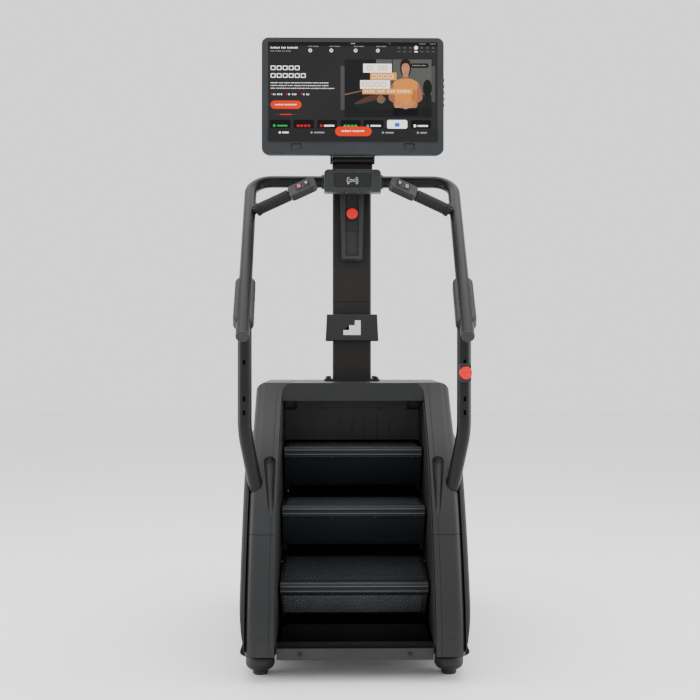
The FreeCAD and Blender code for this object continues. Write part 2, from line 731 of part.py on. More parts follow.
def console_box():
    """Tray box that joins the two handrails, with round sockets in its ends."""
    depth = (BOX_FRONT, COLUMN_FRONT - 0.05)
    shell = soft_box((-102.5, 102.5), depth, (BOX_LOW - 20, BOX_TOP), 16, 5, Vec(0, 1, 0))
    under = [(BOX_FRONT - 20, BOX_LOW), (-8, BOX_LOW), (160, 1664), (160, 1500), (BOX_FRONT - 20, 1500)]
    shell = shell.cut(slab_x(under, -200, 200))
    tray = rounded(box((-68, 68), (BOX_FRONT - 5, BOX_FRONT + 5), (1619, 1669)), 8, Vec(0, 1, 0))
    tab = rounded(box((-24, 24), (BOX_FRONT - 6, BOX_FRONT + 15), (BOX_LOW - 4, BOX_LOW + 13)), 5, Vec(0, 1, 0))
    shell = shell.cut(tray).fuse(tab)
    for sign in (-1, 1):
        def on_bar(x):
            return (sign * x, CROSSBAR_Y, CROSSBAR_Z)

        shell = shell.fuse(rod(on_bar(100), on_bar(113), 27))
        shell = shell.cut(rod(on_bar(60), on_bar(120), RAIL_RADIUS + 0.02))
    return shell.removeSplitter()


# ---- handrails ----
def rail_point(share):
    """A point on the sloping run, from the crossbar corner (0) to the free end (1)."""
    start = (RAIL_CORNER_X, CROSSBAR_Y, CROSSBAR_Z)
    return tuple(a + (b - a) * share for a, b in zip(start, RAIL_END))


GRIP_ROOT = rail_point(0.235)
GRIP_TIP = (130.3, -141.4, 1622.2)
SLEEVE_END = 156.0
STUB_END = 184.0
HEAD_AT = 212.0


def grip_point(distance):
    """A point along the inner grip, measured from the rail's centre line."""
    root = Vec(*GRIP_ROOT)
    way = (Vec(*GRIP_TIP) - root).normalize()
    return root + way * distance


def handrail():
    """Right handrail: half of the crossbar, one bend, the sloping rail and the grip stub."""
    points = [(64.0, CROSSBAR_Y, CROSSBAR_Z), (RAIL_CORNER_X, CROSSBAR_Y, CROSSBAR_Z), RAIL_END]
    solid = swept_round(points, RAIL_BEND, RAIL_RADIUS)
    stub = rod(tuple(GRIP_ROOT), tuple(grip_point(STUB_END)), 12.5)
    solid = solid.fuse(stub)
    return solid.cut(swept_round(points, RAIL_BEND, RAIL_RADIUS - 2.5)).removeSplitter()


def end_cap():
    """Domed plug in the free end of a rail."""
    end = Vec(*RAIL_END)
    way = (end - Vec(*rail_point(0))).normalize()
    dome = Part.makeCylinder(RAIL_RADIUS, 5, end + way * 0.05, way)
    tip = [edge for edge in dome.Edges if len(edge.Vertexes) == 1 and (edge.CenterOfMass - end).dot(way) > 4]
    dome = dome.makeFillet(3.0, tip)
    plug = Part.makeCylinder(RAIL_RADIUS - 2.55, 20, end - way * 19, way)
    return dome.fuse(plug)


UPRIGHT_POINTS = [(UPRIGHT_X, UPRIGHT_Y, 1186), (UPRIGHT_X, UPRIGHT_Y, 768), (309.5, -389, 510)]
UPRIGHT_BEND = 260.0


SLOT_HEIGHTS = (995.0, 877.0, 833.0)


def upright():
    """Right upright: a round tube from the rail down into the side cover."""
    tube = bent_tube(UPRIGHT_POINTS, UPRIGHT_BEND, UPRIGHT_RADIUS, 2.5)
    rail_bar = rod(rail_point(0.1), rail_point(1.1), RAIL_RADIUS + 0.05)
    tube = tube.cut(rail_bar)
    for z in SLOT_HEIGHTS:
        slot = box((UPRIGHT_X - 4, UPRIGHT_X + 4), (UPRIGHT_Y - 40, UPRIGHT_Y - 12), (z - 8, z + 8))
        tube = tube.cut(slot)
    return tube


def upright_socket():
    """The bore that the upright passes through in the side cover."""
    return swept_round(UPRIGHT_POINTS, UPRIGHT_BEND, UPRIGHT_RADIUS + 2.0)


def rail_clamp():
    """Two-part oval cover that ties the upright to the underside of the rail."""
    length = 236.0
    centre = Vec(*rail_point(0.80))
    way = (Vec(*RAIL_END) - Vec(*rail_point(0))).normalize()
    block = box((-33.5, 33.5), (-34, 12), (-length / 2, length / 2))
    block = rounded(block, 30.0, Vec(0, 1, 0))
    block = block.makeFillet(10.0, block.Edges)
    turn = FreeCAD.Rotation(Vec(0, 0, 1), way)
    block.Placement = FreeCAD.Placement(centre, turn)
    block = block.cut(rod(rail_point(0.5), rail_point(1.1), RAIL_RADIUS + 0.05))
    block = block.cut(rod(UPRIGHT_POINTS[0], UPRIGHT_POINTS[1], UPRIGHT_RADIUS + 0.05))
    halves = []
    for low, high in ((-length, -0.6), (0.6, length)):
        half = box((-80, 80), (-80, 80), (low, high))
        half.Placement = FreeCAD.Placement(centre, turn)
        halves.append(block.common(half))
    return halves


SIDE_STOP_Z = 961.0


def stop_mounts():
    """Black collars of the two stop buttons: one on the console post, one on the right upright."""
    channel_floor = 78.0
    post = ring((0, channel_floor - 18, STOP_Z), (0, channel_floor - 0.05, STOP_Z), 23.0, 9.0)
    window = box((-17, 17), (channel_floor - 9, channel_floor - 0.05), (STOP_Z - 60, STOP_Z - 30))
    window = rounded(window, 4, Vec(0, 1, 0))
    front = UPRIGHT_Y - UPRIGHT_RADIUS
    span_x = (UPRIGHT_X - 19, UPRIGHT_X + 19)
    block = box(span_x, (front - 16, UPRIGHT_Y), (SIDE_STOP_Z - 30, SIDE_STOP_Z + 30))
    block = rounded(block, 9, Vec(0, 1, 0))
    tube = rod((UPRIGHT_X, UPRIGHT_Y, 900), (UPRIGHT_X, UPRIGHT_Y, 1050), UPRIGHT_RADIUS + 0.05)
    bore = rod((UPRIGHT_X, front - 30, SIDE_STOP_Z), (UPRIGHT_X, front - 2, SIDE_STOP_Z), 9.0)
    return group([post, window, block.cut(tube).cut(bore)])


def stop_button(x, face, z):
    """Mushroom head on a stem; the head stands clear of its collar by the travel."""
    head = Part.makeCylinder(20.0, 13, Vec(x, face - 19, z), Vec(0, 1, 0))
    head = head.makeFillet(4.0, [edge for edge in head.Edges if edge.BoundBox.YMax < face - 18])
    stem = Part.makeCylinder(8.6, 12, Vec(x, face - 8, z), Vec(0, 1, 0))
    return head.fuse(stem)


def grip_sleeve():
    """Rubber sleeve on the grip stub."""
    sleeve = ring(tuple(grip_point(30)), tuple(grip_point(SLEEVE_END)), 21.0, 12.55)
    collar = ring(tuple(grip_point(28)), tuple(grip_point(40)), 23.5, 12.55)
    return sleeve.fuse(collar).removeSplitter()


def head_frame():
    """Placement of a grip head: X along the grip, Z out of its key face."""
    way = (Vec(*GRIP_TIP) - Vec(*GRIP_ROOT)).normalize()
    face = Vec(0, -0.72, 0.69)
    side = face.cross(way).normalize()
    up = way.cross(side).normalize()
    matrix = FreeCAD.Matrix(
        way.x, side.x, up.x, 0,
        way.y, side.y, up.y, 0,
        way.z, side.z, up.z, 0,
        0, 0, 0, 1,
    )
    return FreeCAD.Placement(grip_point(HEAD_AT), FreeCAD.Placement(matrix).Rotation)


def grip_head():
    """Slanted plastic head on the inner end of a grip."""
    slab = rounded(box((-54, 48), (-28, 28), (-14, 16)), 14, Vec(0, 0, 1))
    rims = [edge for edge in slab.Edges if edge.BoundBox.ZMin > 15.9 or edge.BoundBox.ZMax < -13.9]
    slab = slab.makeFillet(5.0, rims)
    pocket = rounded(box((-22, 30), (-16.4, 16.4), (9, 20)), 4, Vec(0, 0, 1))
    pin_hole = rod((4, -22, 11.5), (4, 22, 11.5), 1.5 + FIT)
    slab = slab.cut(pocket).cut(pin_hole)
    slab.Placement = head_frame()
    return slab.cut(rod(tuple(grip_point(0)), tuple(grip_point(STUB_END + 0.5)), 12.55))


def grip_rocker():
    """Two-way rocker key on a cross pin in the grip head."""
    key = rounded(box((-21, 29), (-15.8, 15.8), (11, 17.5)), 3.5, Vec(0, 0, 1))
    key = key.fuse(rod((4, -21, 11.5), (4, 21, 11.5), 1.5))
    key = key.cut(box((-25, -4), (-20, 20), (5, 12.6))).cut(box((12, 35), (-20, 20), (5, 12.6)))
    key.Placement = head_frame()
    return key


# ---- screen ----
def neck():
    """Arm from the column top to the tilt barrel."""
    back = COLUMN_FRONT + COLUMN_DEPTH
    plate = rounded(box((-73, 73), (HINGE_Y, back), (COLUMN_TOP + 0.05, COLUMN_TOP + 26)), 8, Vec(0, 0, 1))
    barrel = rod((-73, HINGE_Y, HINGE_Z), (73, HINGE_Y, HINGE_Z), 16.0)
    web = box((-73, 73), (HINGE_Y, HINGE_Y + 30), (COLUMN_TOP + 10, HINGE_Z))
    solid = plate.fuse([barrel, web])
    return solid.cut(rod((-90, HINGE_Y, HINGE_Z), (90, HINGE_Y, HINGE_Z), 6.0 + FIT)).removeSplitter()


def screen_back():
    """Rear shell of the screen with its mounting boss, two knuckles and the tilt pin."""
    half = SCREEN_WIDTH / 2
    depth = (SCREEN_FRONT + 14.05, SCREEN_FRONT + 50)
    shell = rounded(box((-half + 2, half - 2), depth, (SCREEN_BOTTOM + 2, SCREEN_TOP - 2)), 26, Vec(0, 1, 0))
    shell = shell.makeFillet(9.0, [edge for edge in shell.Edges if edge.BoundBox.YMin > depth[1] - 0.01])
    boss = box((-150, 150), (depth[1] - 1, depth[1] + 22), (SCREEN_BOTTOM + 50, SCREEN_BOTTOM + 290))
    boss = rounded(boss, 20, Vec(0, 1, 0))
    boss = boss.makeFillet(8.0, [edge for edge in boss.Edges if edge.BoundBox.YMin > depth[1] + 21.9])
    solid = shell.fuse(boss)
    for sign in (-1, 1):
        inner = 73.4 * sign
        outer = 81.0 * sign
        knuckle = rod((inner, HINGE_Y, HINGE_Z), (outer, HINGE_Y, HINGE_Z), 16.0)
        low_x, high_x = sorted((inner, outer))
        arm = [
            (depth[1] - 2, HINGE_Z + 35),
            (depth[1] - 2, HINGE_Z + 105),
            (HINGE_Y + 14, HINGE_Z + 6),
            (HINGE_Y - 8, HINGE_Z - 12),
        ]
        solid = solid.fuse([knuckle, slab_x(arm, low_x, high_x)])
    solid = solid.fuse(rod((-81, HINGE_Y, HINGE_Z), (81, HINGE_Y, HINGE_Z), 6.0))
    cavity = box((-half + 12, half - 12), (depth[0] - 5, depth[1] - 5), (SCREEN_BOTTOM + 12, SCREEN_TOP - 12))
    return solid.cut(cavity).removeSplitter()


def screen_bezel():
    """Front frame of the screen with a deeper lower edge and two speaker openings."""
    half = SCREEN_WIDTH / 2
    active = ACTIVE_WIDTH / 2
    frame = box((-half, half), (SCREEN_FRONT, SCREEN_FRONT + 14), (SCREEN_BOTTOM, SCREEN_TOP))
    frame = rounded(frame, 24, Vec(0, 1, 0))
    frame = frame.makeFillet(4.0, [edge for edge in frame.Edges if edge.BoundBox.YMax < SCREEN_FRONT + 0.01])
    frame = frame.cut(box((-active, active), (SCREEN_FRONT - 5, SCREEN_FRONT + 20), (ACTIVE_BOTTOM, ACTIVE_TOP)))
    ledge = box((-active - 6, active + 6), (SCREEN_FRONT + 5, SCREEN_FRONT + 20), (ACTIVE_BOTTOM - 6, ACTIVE_TOP + 6))
    frame = frame.cut(ledge)
    for x in (-200.0, 200.0):
        opening = box((x - 19, x + 19), (SCREEN_FRONT - 5, SCREEN_FRONT + 8), (1742, 1766))
        frame = frame.cut(rounded(opening, 8, Vec(0, 1, 0)))
    return frame


def screen_panel():
    half = ACTIVE_WIDTH / 2 + 5.5
    return box((-half, half), (SCREEN_FRONT + 5.05, SCREEN_FRONT + 13), (ACTIVE_BOTTOM - 5.5, ACTIVE_TOP + 5.5))


# ---- feet and fasteners ----
FOOT_SPOTS = {
    "front_left": (-FOOT_X, FOOT_FRONT_Y),
    "front_right": (FOOT_X, FOOT_FRONT_Y),
    "rear_left": (-FOOT_X, FOOT_REAR_Y),
    "rear_right": (FOOT_X, FOOT_REAR_Y),
}


PAD_TOP = 14.5


def foot_mount(spot):
    """Round shoe under the floor sheet, bored for the levelling stud."""
    low = PAD_TOP + 0.5
    height = 54.0
    puck = Part.makeCylinder(46.5, height, Vec(*spot, low), Vec(0, 0, 1))
    puck = puck.makeFillet(22.0, puck.Edges[0:1] + puck.Edges[2:3])
    top = PAN_Z[0] - 0.05
    neck_block = Part.makeCylinder(24, top - 60, Vec(*spot, 60), Vec(0, 0, 1))
    bore = Part.makeCylinder(8.0 + FIT, 60, Vec(*spot, low - 5), Vec(0, 0, 1))
    return puck.fuse(neck_block).cut(bore)


def foot_pad(spot):
    """Rubber-faced pad on its threaded stud."""
    pad = Part.makeCylinder(24.5, PAD_TOP, Vec(*spot, 0), Vec(0, 0, 1))
    pad = pad.makeFillet(3.0, [edge for edge in pad.Edges if len(edge.Vertexes) == 1])
    stud = Part.makeCylinder(8.0, 44, Vec(*spot, PAD_TOP - 1), Vec(0, 0, 1))
    return pad.fuse(stud)


def bolt(x, y, z, radius):
    """Hexagon bolt whose head faces the user."""
    points = []
    for index in range(6):
        angle = math.pi * index / 3
        points.append(Vec(x + radius * math.cos(angle), y, z + radius * math.sin(angle)))
    head = Part.Face(Part.makePolygon(points + points[:1])).extrude(Vec(0, -5, 0))
    return head.fuse(rod((x, y, z), (x, y + 12, z), radius * 0.52))


def flange_bolt(x, y):
    head = Part.makeCylinder(10, 8, Vec(x, y, BASE_TOP + 8.05), Vec(0, 0, 1))
    socket = Part.makeCylinder(5, 5, Vec(x, y, BASE_TOP + 12), Vec(0, 0, 1))
    return head.cut(socket)


def cover_bolts():
    bolts = [bolt(x, PANEL_Y - 0.05, PANEL_BOLT_Z, 7.0) for x in (-PANEL_BOLT_X, PANEL_BOLT_X)]
    bolts += [bolt(x, KICK_Y[0] - 4.05, KICK_BOLT_Z, 5.5) for x in (-KICK_BOLT_X, KICK_BOLT_X)]
    bolts += [flange_bolt(x, y) for x in (-88.0, 88.0) for y in (98.0, 232.0)]
    return group(bolts)


# ---- write every node ----
def main():
    upper, lower = side_covers()
    save_pair("upper_cover", upper)
    save_pair("lower_cover", lower)
    save_pair("side_skin", side_skin())
    save("well_liners", both(well_liner()))
    save("top_cover", top_cover())
    save("kick_panel", kick_panel())
    save("rear_cover", rear_cover())
    save("bottom_pan", bottom_pan())
    save("front_panel", front_panel())
    save("cover_bolts", cover_bolts())
    save("base_frame", base_frame())
    save("shaft_bearings", shaft_bearings())
    save("step_chains", step_chains())
    save("upper_shaft", drive_shaft(UPPER_SHAFT, True))
    save("lower_shaft", drive_shaft(LOWER_SHAFT, False))
    save("drive_belt", drive_belt())
    save("brake_rotor", brake_rotor())
    save("brake_housing", brake_housing())
    save("controller_box", controller_box())
    for number in (1, 2, 3):
        save("tread_%d" % number, tread(number))
        save("riser_%d" % number, riser(number))
        save("axle_%d" % number, axle(number))
    save("return_steps", return_steps())
    save("column_lower", column_lower())
    save("column_upper", column_upper())
    save("accent_plate", accent_plate())
    save("console_post", console_post())
    save("console_box", console_box())
    save_pair("handrail", handrail())
    save("rail_end_caps", both(end_cap()))
    save("rail_clamps", both(group(rail_clamp())))
    save_pair("upright", upright())
    save("stop_mounts", stop_mounts())
    save("stop_button_post", stop_button(0, 60.0, STOP_Z))
    save("stop_button_side", stop_button(UPRIGHT_X, UPRIGHT_Y - UPRIGHT_RADIUS - 16, SIDE_STOP_Z))
    save("grip_sleeves", both(grip_sleeve()))
    save_pair("grip_head", grip_head())
    save_pair("grip_rocker", grip_rocker())
    save("neck", neck())
    save("screen_back", screen_back())
    save("screen_bezel", screen_bezel())
    save("screen_panel", screen_panel())
    save("foot_mounts", group([foot_mount(spot) for spot in FOOT_SPOTS.values()]))
    for name, spot in FOOT_SPOTS.items():
        save("foot_pad_" + name, foot_pad(spot))


main()
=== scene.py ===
"""Looks for the stair climber: materials, screen picture, tread ribs, controls and trim."""
import bmesh
import bpy
import json
import math
from mathutils import Matrix, Vector


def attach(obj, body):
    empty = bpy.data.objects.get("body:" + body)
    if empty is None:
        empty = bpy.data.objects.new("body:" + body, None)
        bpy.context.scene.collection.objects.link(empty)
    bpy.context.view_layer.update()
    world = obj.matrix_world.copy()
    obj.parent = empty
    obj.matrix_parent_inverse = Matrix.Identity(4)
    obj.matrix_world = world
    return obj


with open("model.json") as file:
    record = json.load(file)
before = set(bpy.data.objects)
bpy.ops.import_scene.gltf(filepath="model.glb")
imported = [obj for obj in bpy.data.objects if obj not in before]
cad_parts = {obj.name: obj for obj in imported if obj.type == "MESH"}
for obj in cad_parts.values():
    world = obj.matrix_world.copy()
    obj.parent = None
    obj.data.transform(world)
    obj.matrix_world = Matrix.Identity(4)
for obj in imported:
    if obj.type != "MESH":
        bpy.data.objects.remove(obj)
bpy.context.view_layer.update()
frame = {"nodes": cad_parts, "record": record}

NODES = frame["nodes"]


# ---------------------------------------------------------------- camera, floor and light
CAMERA_PLACE = (-0.061, -4.015, 1.034)
CAMERA_YAW = math.radians(0.75)
CAMERA_LENS = 56.57
SENSOR_WIDTH = 36.0
ROOM = 1.45           # strength of the plain white surroundings
FLOOR_REACH = 14.0
LIGHTS = (            # name, place, target, size, watts
    ("top", (0.0, -0.3, 5.0), (0, -0.2, 0), (6.0, 6.0), 260),
    ("left", (-3.2, -0.3, 1.6), (0, -0.2, 1.1), (0.8, 3.0), 55),
    ("right", (3.2, -0.3, 1.6), (0, -0.2, 1.1), (0.8, 3.0), 55),
)


def make_camera():
    data = bpy.data.cameras.new("camera")
    data.lens = CAMERA_LENS
    data.sensor_width = SENSOR_WIDTH
    camera = bpy.data.objects.new("camera", data)
    camera.location = CAMERA_PLACE
    camera.rotation_euler = (math.pi / 2, 0, -CAMERA_YAW)
    bpy.context.collection.objects.link(camera)
    bpy.context.scene.camera = camera


def make_light(name, place, target, size, watts):
    data = bpy.data.lights.new(name, "AREA")
    data.shape = "RECTANGLE"
    data.size, data.size_y = size
    data.energy = watts
    light = bpy.data.objects.new(name, data)
    light.location = place
    light.rotation_euler = (Vector(target) - Vector(place)).to_track_quat("-Z", "Y").to_euler()
    bpy.context.collection.objects.link(light)


def make_world():
    world = bpy.data.worlds.new("studio")
    world.use_nodes = True
    room = world.node_tree.nodes["Background"]
    room.inputs["Color"].default_value = (1.0, 1.0, 1.0, 1.0)
    room.inputs["Strength"].default_value = ROOM
    bpy.context.scene.world = world


def make_stage():
    mesh = bpy.data.meshes.new("floor")
    corners = [(-FLOOR_REACH, -FLOOR_REACH, 0), (FLOOR_REACH, -FLOOR_REACH, 0),
               (FLOOR_REACH, FLOOR_REACH, 0), (-FLOOR_REACH, FLOOR_REACH, 0)]
    mesh.from_pydata(corners, [], [(0, 1, 2, 3)])
    floor = bpy.data.objects.new("floor", mesh)
    bpy.context.collection.objects.link(floor)
    floor.data.materials.append(floor_material())


# ---------------------------------------------------------------- materials
BLOTCH = 7.0          # slow colour drift, cycles per metre
GRAIN_DEPTH = 0.0006
GLOW_DRIFT = 0.05


def new_material(name):
    material = bpy.data.materials.new(name)
    material.use_nodes = True
    return material, material.node_tree, material.node_tree.nodes["Principled BSDF"]


def object_noise(tree, scale, detail=3.0, stretch=(1, 1, 1)):
    """Noise in the object's own metres, so its grain has a real size."""
    place = tree.nodes.new("ShaderNodeTexCoord")
    mapping = tree.nodes.new("ShaderNodeMapping")
    mapping.inputs["Scale"].default_value = stretch
    noise = tree.nodes.new("ShaderNodeTexNoise")
    noise.inputs["Scale"].default_value = scale
    noise.inputs["Detail"].default_value = detail
    tree.links.new(place.outputs["Object"], mapping.inputs["Vector"])
    tree.links.new(mapping.outputs["Vector"], noise.inputs["Vector"])
    return noise


def ramp(tree, source, stops):
    node = tree.nodes.new("ShaderNodeValToRGB")
    elements = node.color_ramp.elements
    for index, (place, colour) in enumerate(stops):
        element = elements[index] if index < 2 else elements.new(place)
        element.position = place
        element.color = (*colour, 1.0)
    tree.links.new(source, node.inputs["Fac"])
    return node


def shade(colour, factor):
    return tuple(min(1.0, channel * factor) for channel in colour)


def grained(name, colour, rough, grain, bump, spread=0.12, gloss=0.2):
    """A satin surface with slow colour drift, fine grain in its roughness and a little bump."""
    material, tree, shader = new_material(name)
    slow = object_noise(tree, BLOTCH, 4.0)
    tint = ramp(tree, slow.outputs["Fac"], [(0.3, shade(colour, 1 - spread)), (0.7, shade(colour, 1 + spread))])
    tree.links.new(tint.outputs["Color"], shader.inputs["Base Color"])
    fine = object_noise(tree, grain, 2.0)
    low = max(0.02, rough - 0.05)
    wear = ramp(tree, fine.outputs["Fac"], [(0.25, (low,) * 3), (0.75, (min(1.0, rough + 0.07),) * 3)])
    tree.links.new(wear.outputs["Color"], shader.inputs["Roughness"])
    height = tree.nodes.new("ShaderNodeBump")
    height.inputs["Strength"].default_value = bump
    height.inputs["Distance"].default_value = GRAIN_DEPTH
    tree.links.new(fine.outputs["Fac"], height.inputs["Height"])
    tree.links.new(height.outputs["Normal"], shader.inputs["Normal"])
    shader.inputs["Specular IOR Level"].default_value = gloss
    return material


def brushed(name, colour, rough, stretch=(1, 60, 60)):
    """Metal with fine lines along one axis."""
    material, tree, shader = new_material(name)
    lines = object_noise(tree, 40.0, 3.0, stretch)
    tint = ramp(tree, lines.outputs["Fac"], [(0.3, shade(colour, 0.85)), (0.7, shade(colour, 1.12))])
    tree.links.new(tint.outputs["Color"], shader.inputs["Base Color"])
    wear = ramp(tree, lines.outputs["Fac"], [(0.3, (rough - 0.08,) * 3), (0.7, (rough + 0.1,) * 3)])
    tree.links.new(wear.outputs["Color"], shader.inputs["Roughness"])
    shader.inputs["Metallic"].default_value = 1.0
    return material


def lit(name, colour, strength):
    """A glowing patch: a little uneven, behind a glossy face."""
    material, tree, shader = new_material(name)
    noise = object_noise(tree, 9.0, 2.0)
    ends = [(0.3, shade(colour, 1 - GLOW_DRIFT)), (0.7, shade(colour, 1 + GLOW_DRIFT))]
    tint = ramp(tree, noise.outputs["Fac"], ends)
    tree.links.new(tint.outputs["Color"], shader.inputs["Emission Color"])
    film = ramp(tree, noise.outputs["Fac"], [(0.3, shade(colour, 0.02)), (0.7, shade(colour, 0.03))])
    tree.links.new(film.outputs["Color"], shader.inputs["Base Color"])
    shader.inputs["Emission Strength"].default_value = strength
    shader.inputs["Roughness"].default_value = 0.25
    shader.inputs["Specular IOR Level"].default_value = 0.07
    return material


def floor_material():
    material, tree, shader = new_material("pale_floor")
    noise = object_noise(tree, 1.5, 2.0)
    tint = ramp(tree, noise.outputs["Fac"], [(0.3, (0.93, 0.93, 0.93)), (0.7, (0.96, 0.96, 0.96))])
    tree.links.new(tint.outputs["Color"], shader.inputs["Base Color"])
    shader.inputs["Roughness"].default_value = 0.55
    return material


PAINTS = {
    "cover_plastic": lambda: grained("cover_plastic", (0.0132, 0.0137, 0.0146), 0.42, 1400.0, 0.10, gloss=0.25),
    "frame_paint": lambda: grained("frame_paint", (0.0122, 0.0108, 0.0092), 0.36, 1600.0, 0.08, gloss=0.2),
    "tube_paint": lambda: grained("tube_paint", (0.0062, 0.0067, 0.0074), 0.34, 1800.0, 0.06, gloss=0.2),
    "sheet_paint": lambda: grained("sheet_paint", (0.0225, 0.0235, 0.0225), 0.5, 1500.0, 0.10, gloss=0.25),
    "tread_alloy": lambda: grained("tread_alloy", (0.009, 0.010, 0.011), 0.5, 1200.0, 0.12, gloss=0.15),
    "riser_plastic": lambda: grained("riser_plastic", (0.0090, 0.0115, 0.0130), 0.5, 1300.0, 0.10, gloss=0.25),
    "steel": lambda: brushed("steel", (0.07, 0.07, 0.072), 0.4),
    "chain_steel": lambda: brushed("chain_steel", (0.16, 0.155, 0.15), 0.4),
    "belt_rubber": lambda: grained("belt_rubber", (0.008, 0.008, 0.008), 0.75, 900.0, 0.3),
    "grip_rubber": lambda: grained("grip_rubber", (0.012, 0.0125, 0.0135), 0.62, 2200.0, 0.35),
    "control_plastic": lambda: grained("control_plastic", (0.0210, 0.0225, 0.0240), 0.45, 1800.0, 0.10, gloss=0.3),
    "red_plastic": lambda: grained("red_plastic", (0.74, 0.0010, 0.006), 0.36, 1500.0, 0.03, 0.05, 0.25),
    "screen_plastic": lambda: grained("screen_plastic", (0.0215, 0.0245, 0.0275), 0.45, 1800.0, 0.08, gloss=0.25),
    "screen_glass": lambda: grained("screen_glass", (0.006, 0.006, 0.007), 0.25, 800.0, 0.0, 0.03),
    "under_paint": lambda: grained("under_paint", (0.004, 0.004, 0.004), 0.7, 1200.0, 0.1, gloss=0.05),
    "foot_rubber": lambda: grained("foot_rubber", (0.0150, 0.0160, 0.0175), 0.5, 1500.0, 0.2, gloss=0.3),
}
MADE = {}


def paint(slot):
    if slot not in MADE:
        MADE[slot] = PAINTS[slot]()
    return MADE[slot]


def paint_nodes():
    for part in frame["record"]["subparts"]:
        node = NODES[part["node"]]
        node.data.materials.clear()
        node.data.materials.append(paint(part["material_slot"]))


# ---------------------------------------------------------------- mesh helpers
def add_piece(name, mesh, body, material, smooth=False):
    piece = bpy.data.objects.new(name, mesh)
    bpy.context.collection.objects.link(piece)
    piece.data.materials.append(material)
    if smooth:
        for polygon in mesh.polygons:
            polygon.use_smooth = True
    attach(piece, body)


def mesh_of(name, bm):
    bmesh.ops.recalc_face_normals(bm, faces=bm.faces)
    mesh = bpy.data.meshes.new(name)
    bm.to_mesh(mesh)
    bm.free()
    return mesh


def round_outline(width, height, radius, steps=5):
    """Corner-rounded rectangle about the origin, anticlockwise."""
    radius = min(radius, width / 2 - 1e-6, height / 2 - 1e-6)
    points = []
    corners = [(1, 1, 0), (-1, 1, 90), (-1, -1, 180), (1, -1, 270)]
    for sx, sy, start in corners:
        cx = sx * (width / 2 - radius)
        cy = sy * (height / 2 - radius)
        for index in range(steps + 1):
            angle = math.radians(start + 90 * index / steps)
            points.append((cx + radius * math.cos(angle), cy + radius * math.sin(angle)))
    return points


def disc_outline(radius, steps=24, squash=1.0):
    points = []
    for index in range(steps):
        angle = 2 * math.pi * index / steps
        points.append((radius * math.cos(angle), radius * squash * math.sin(angle)))
    return points


def add_prism(bm, outline, depth, place, chamfer=0.0):
    """Carry an outline from height 0 to depth, with an optional chamfer, then place it."""
    levels = [(0.0, 0.0), (depth - chamfer, 0.0)]
    if chamfer:
        levels.append((depth, chamfer))
    size = max(max(abs(x), abs(y)) for x, y in outline)
    rings = []
    for height, inset in levels:
        scale = (size - inset) / size
        rings.append([bm.verts.new(place @ Vector((x * scale, y * scale, height))) for x, y in outline])
    count = len(outline)
    for low, high in zip(rings, rings[1:]):
        for index in range(count):
            follow = (index + 1) % count
            bm.faces.new((low[index], low[follow], high[follow], high[index]))
    bm.faces.new(rings[0][::-1])
    bm.faces.new(rings[-1])


def add_dome(bm, radius, height, place, sides=8, rings=3):
    """A shallow closed dome."""
    previous = None
    first = None
    for level in range(rings):
        angle = math.pi / 2 * level / rings
        ring = []
        for index in range(sides):
            turn = 2 * math.pi * index / sides
            reach = radius * math.cos(angle)
            ring.append(bm.verts.new(place @ Vector((
                reach * math.cos(turn), reach * math.sin(turn), height * math.sin(angle),
            ))))
        if previous:
            for index in range(sides):
                follow = (index + 1) % sides
                bm.faces.new((previous[index], previous[follow], ring[follow], ring[index]))
        else:
            first = ring
        previous = ring
    top = bm.verts.new(place @ Vector((0, 0, height)))
    for index in range(sides):
        bm.faces.new((previous[index], previous[(index + 1) % sides], top))
    bm.faces.new(first[::-1])


def facing_user(x, y, z):
    """Local X right, local Y up, local Z out towards the user."""
    return Matrix.Translation((x, y, z)) @ Matrix.Rotation(math.pi / 2, 4, "X")


# ---------------------------------------------------------------- steps
STEP_RUN = 0.145
STEP_RISE = 0.185
TREAD_DEPTH = 0.254
TREAD_HALF = 0.240
NOSE_HEIGHT = 0.027
STEP_ONE_BACK = (0.079, 0.692)
AXLE_DROP = (-0.014, -0.017)
STEP_THREE_TIP = math.radians(10.7)
RIB_COLUMNS = 36
RIB_ROWS = 13
RIB_HEIGHT = 0.0020
RIDGES = 4            # long ridges on top of the nose strip
RIDGE_PITCH = 0.0052
NOSE_REACH = 0.030
NOSE_RADIUS = 0.0070
DOME_PITCH = 0.0098


def step_place(number):
    """Matrix from a step's own frame (origin at its top rear edge) to the machine."""
    y = STEP_ONE_BACK[0] - STEP_RUN * (number - 1)
    z = STEP_ONE_BACK[1] - STEP_RISE * (number - 1)
    place = Matrix.Translation((0, y, z))
    if number == 3:
        axle = Vector((0, y + AXLE_DROP[0], z + AXLE_DROP[1]))
        tip = Matrix.Rotation(STEP_THREE_TIP, 4, "X")
        place = Matrix.Translation(axle) @ tip @ Matrix.Translation(-axle) @ place
    return place


def tread_ribs(number):
    """Raised anti-slip pads over the tread, in staggered rows."""
    bm = bmesh.new()
    place = step_place(number)
    pitch_x = (2 * TREAD_HALF - 0.024) / RIB_COLUMNS
    pitch_y = (TREAD_DEPTH - 0.050) / RIB_ROWS
    for row in range(RIB_ROWS):
        for column in range(RIB_COLUMNS):
            shift = 0.25 if row % 2 else -0.25
            x = -TREAD_HALF + 0.012 + pitch_x * (column + 0.5 + shift)
            y = -0.012 - pitch_y * (row + 0.5)
            outline = round_outline(pitch_x * 0.68, pitch_y * 0.58, 0.0022, 2)
            spot = place @ Matrix.Translation((x, y, -0.0002))
            add_prism(bm, outline, RIB_HEIGHT, spot, 0.0006)
    add_piece("tread_ribs_%d" % number, mesh_of("tread_ribs", bm), "step_%d" % number, RIB)


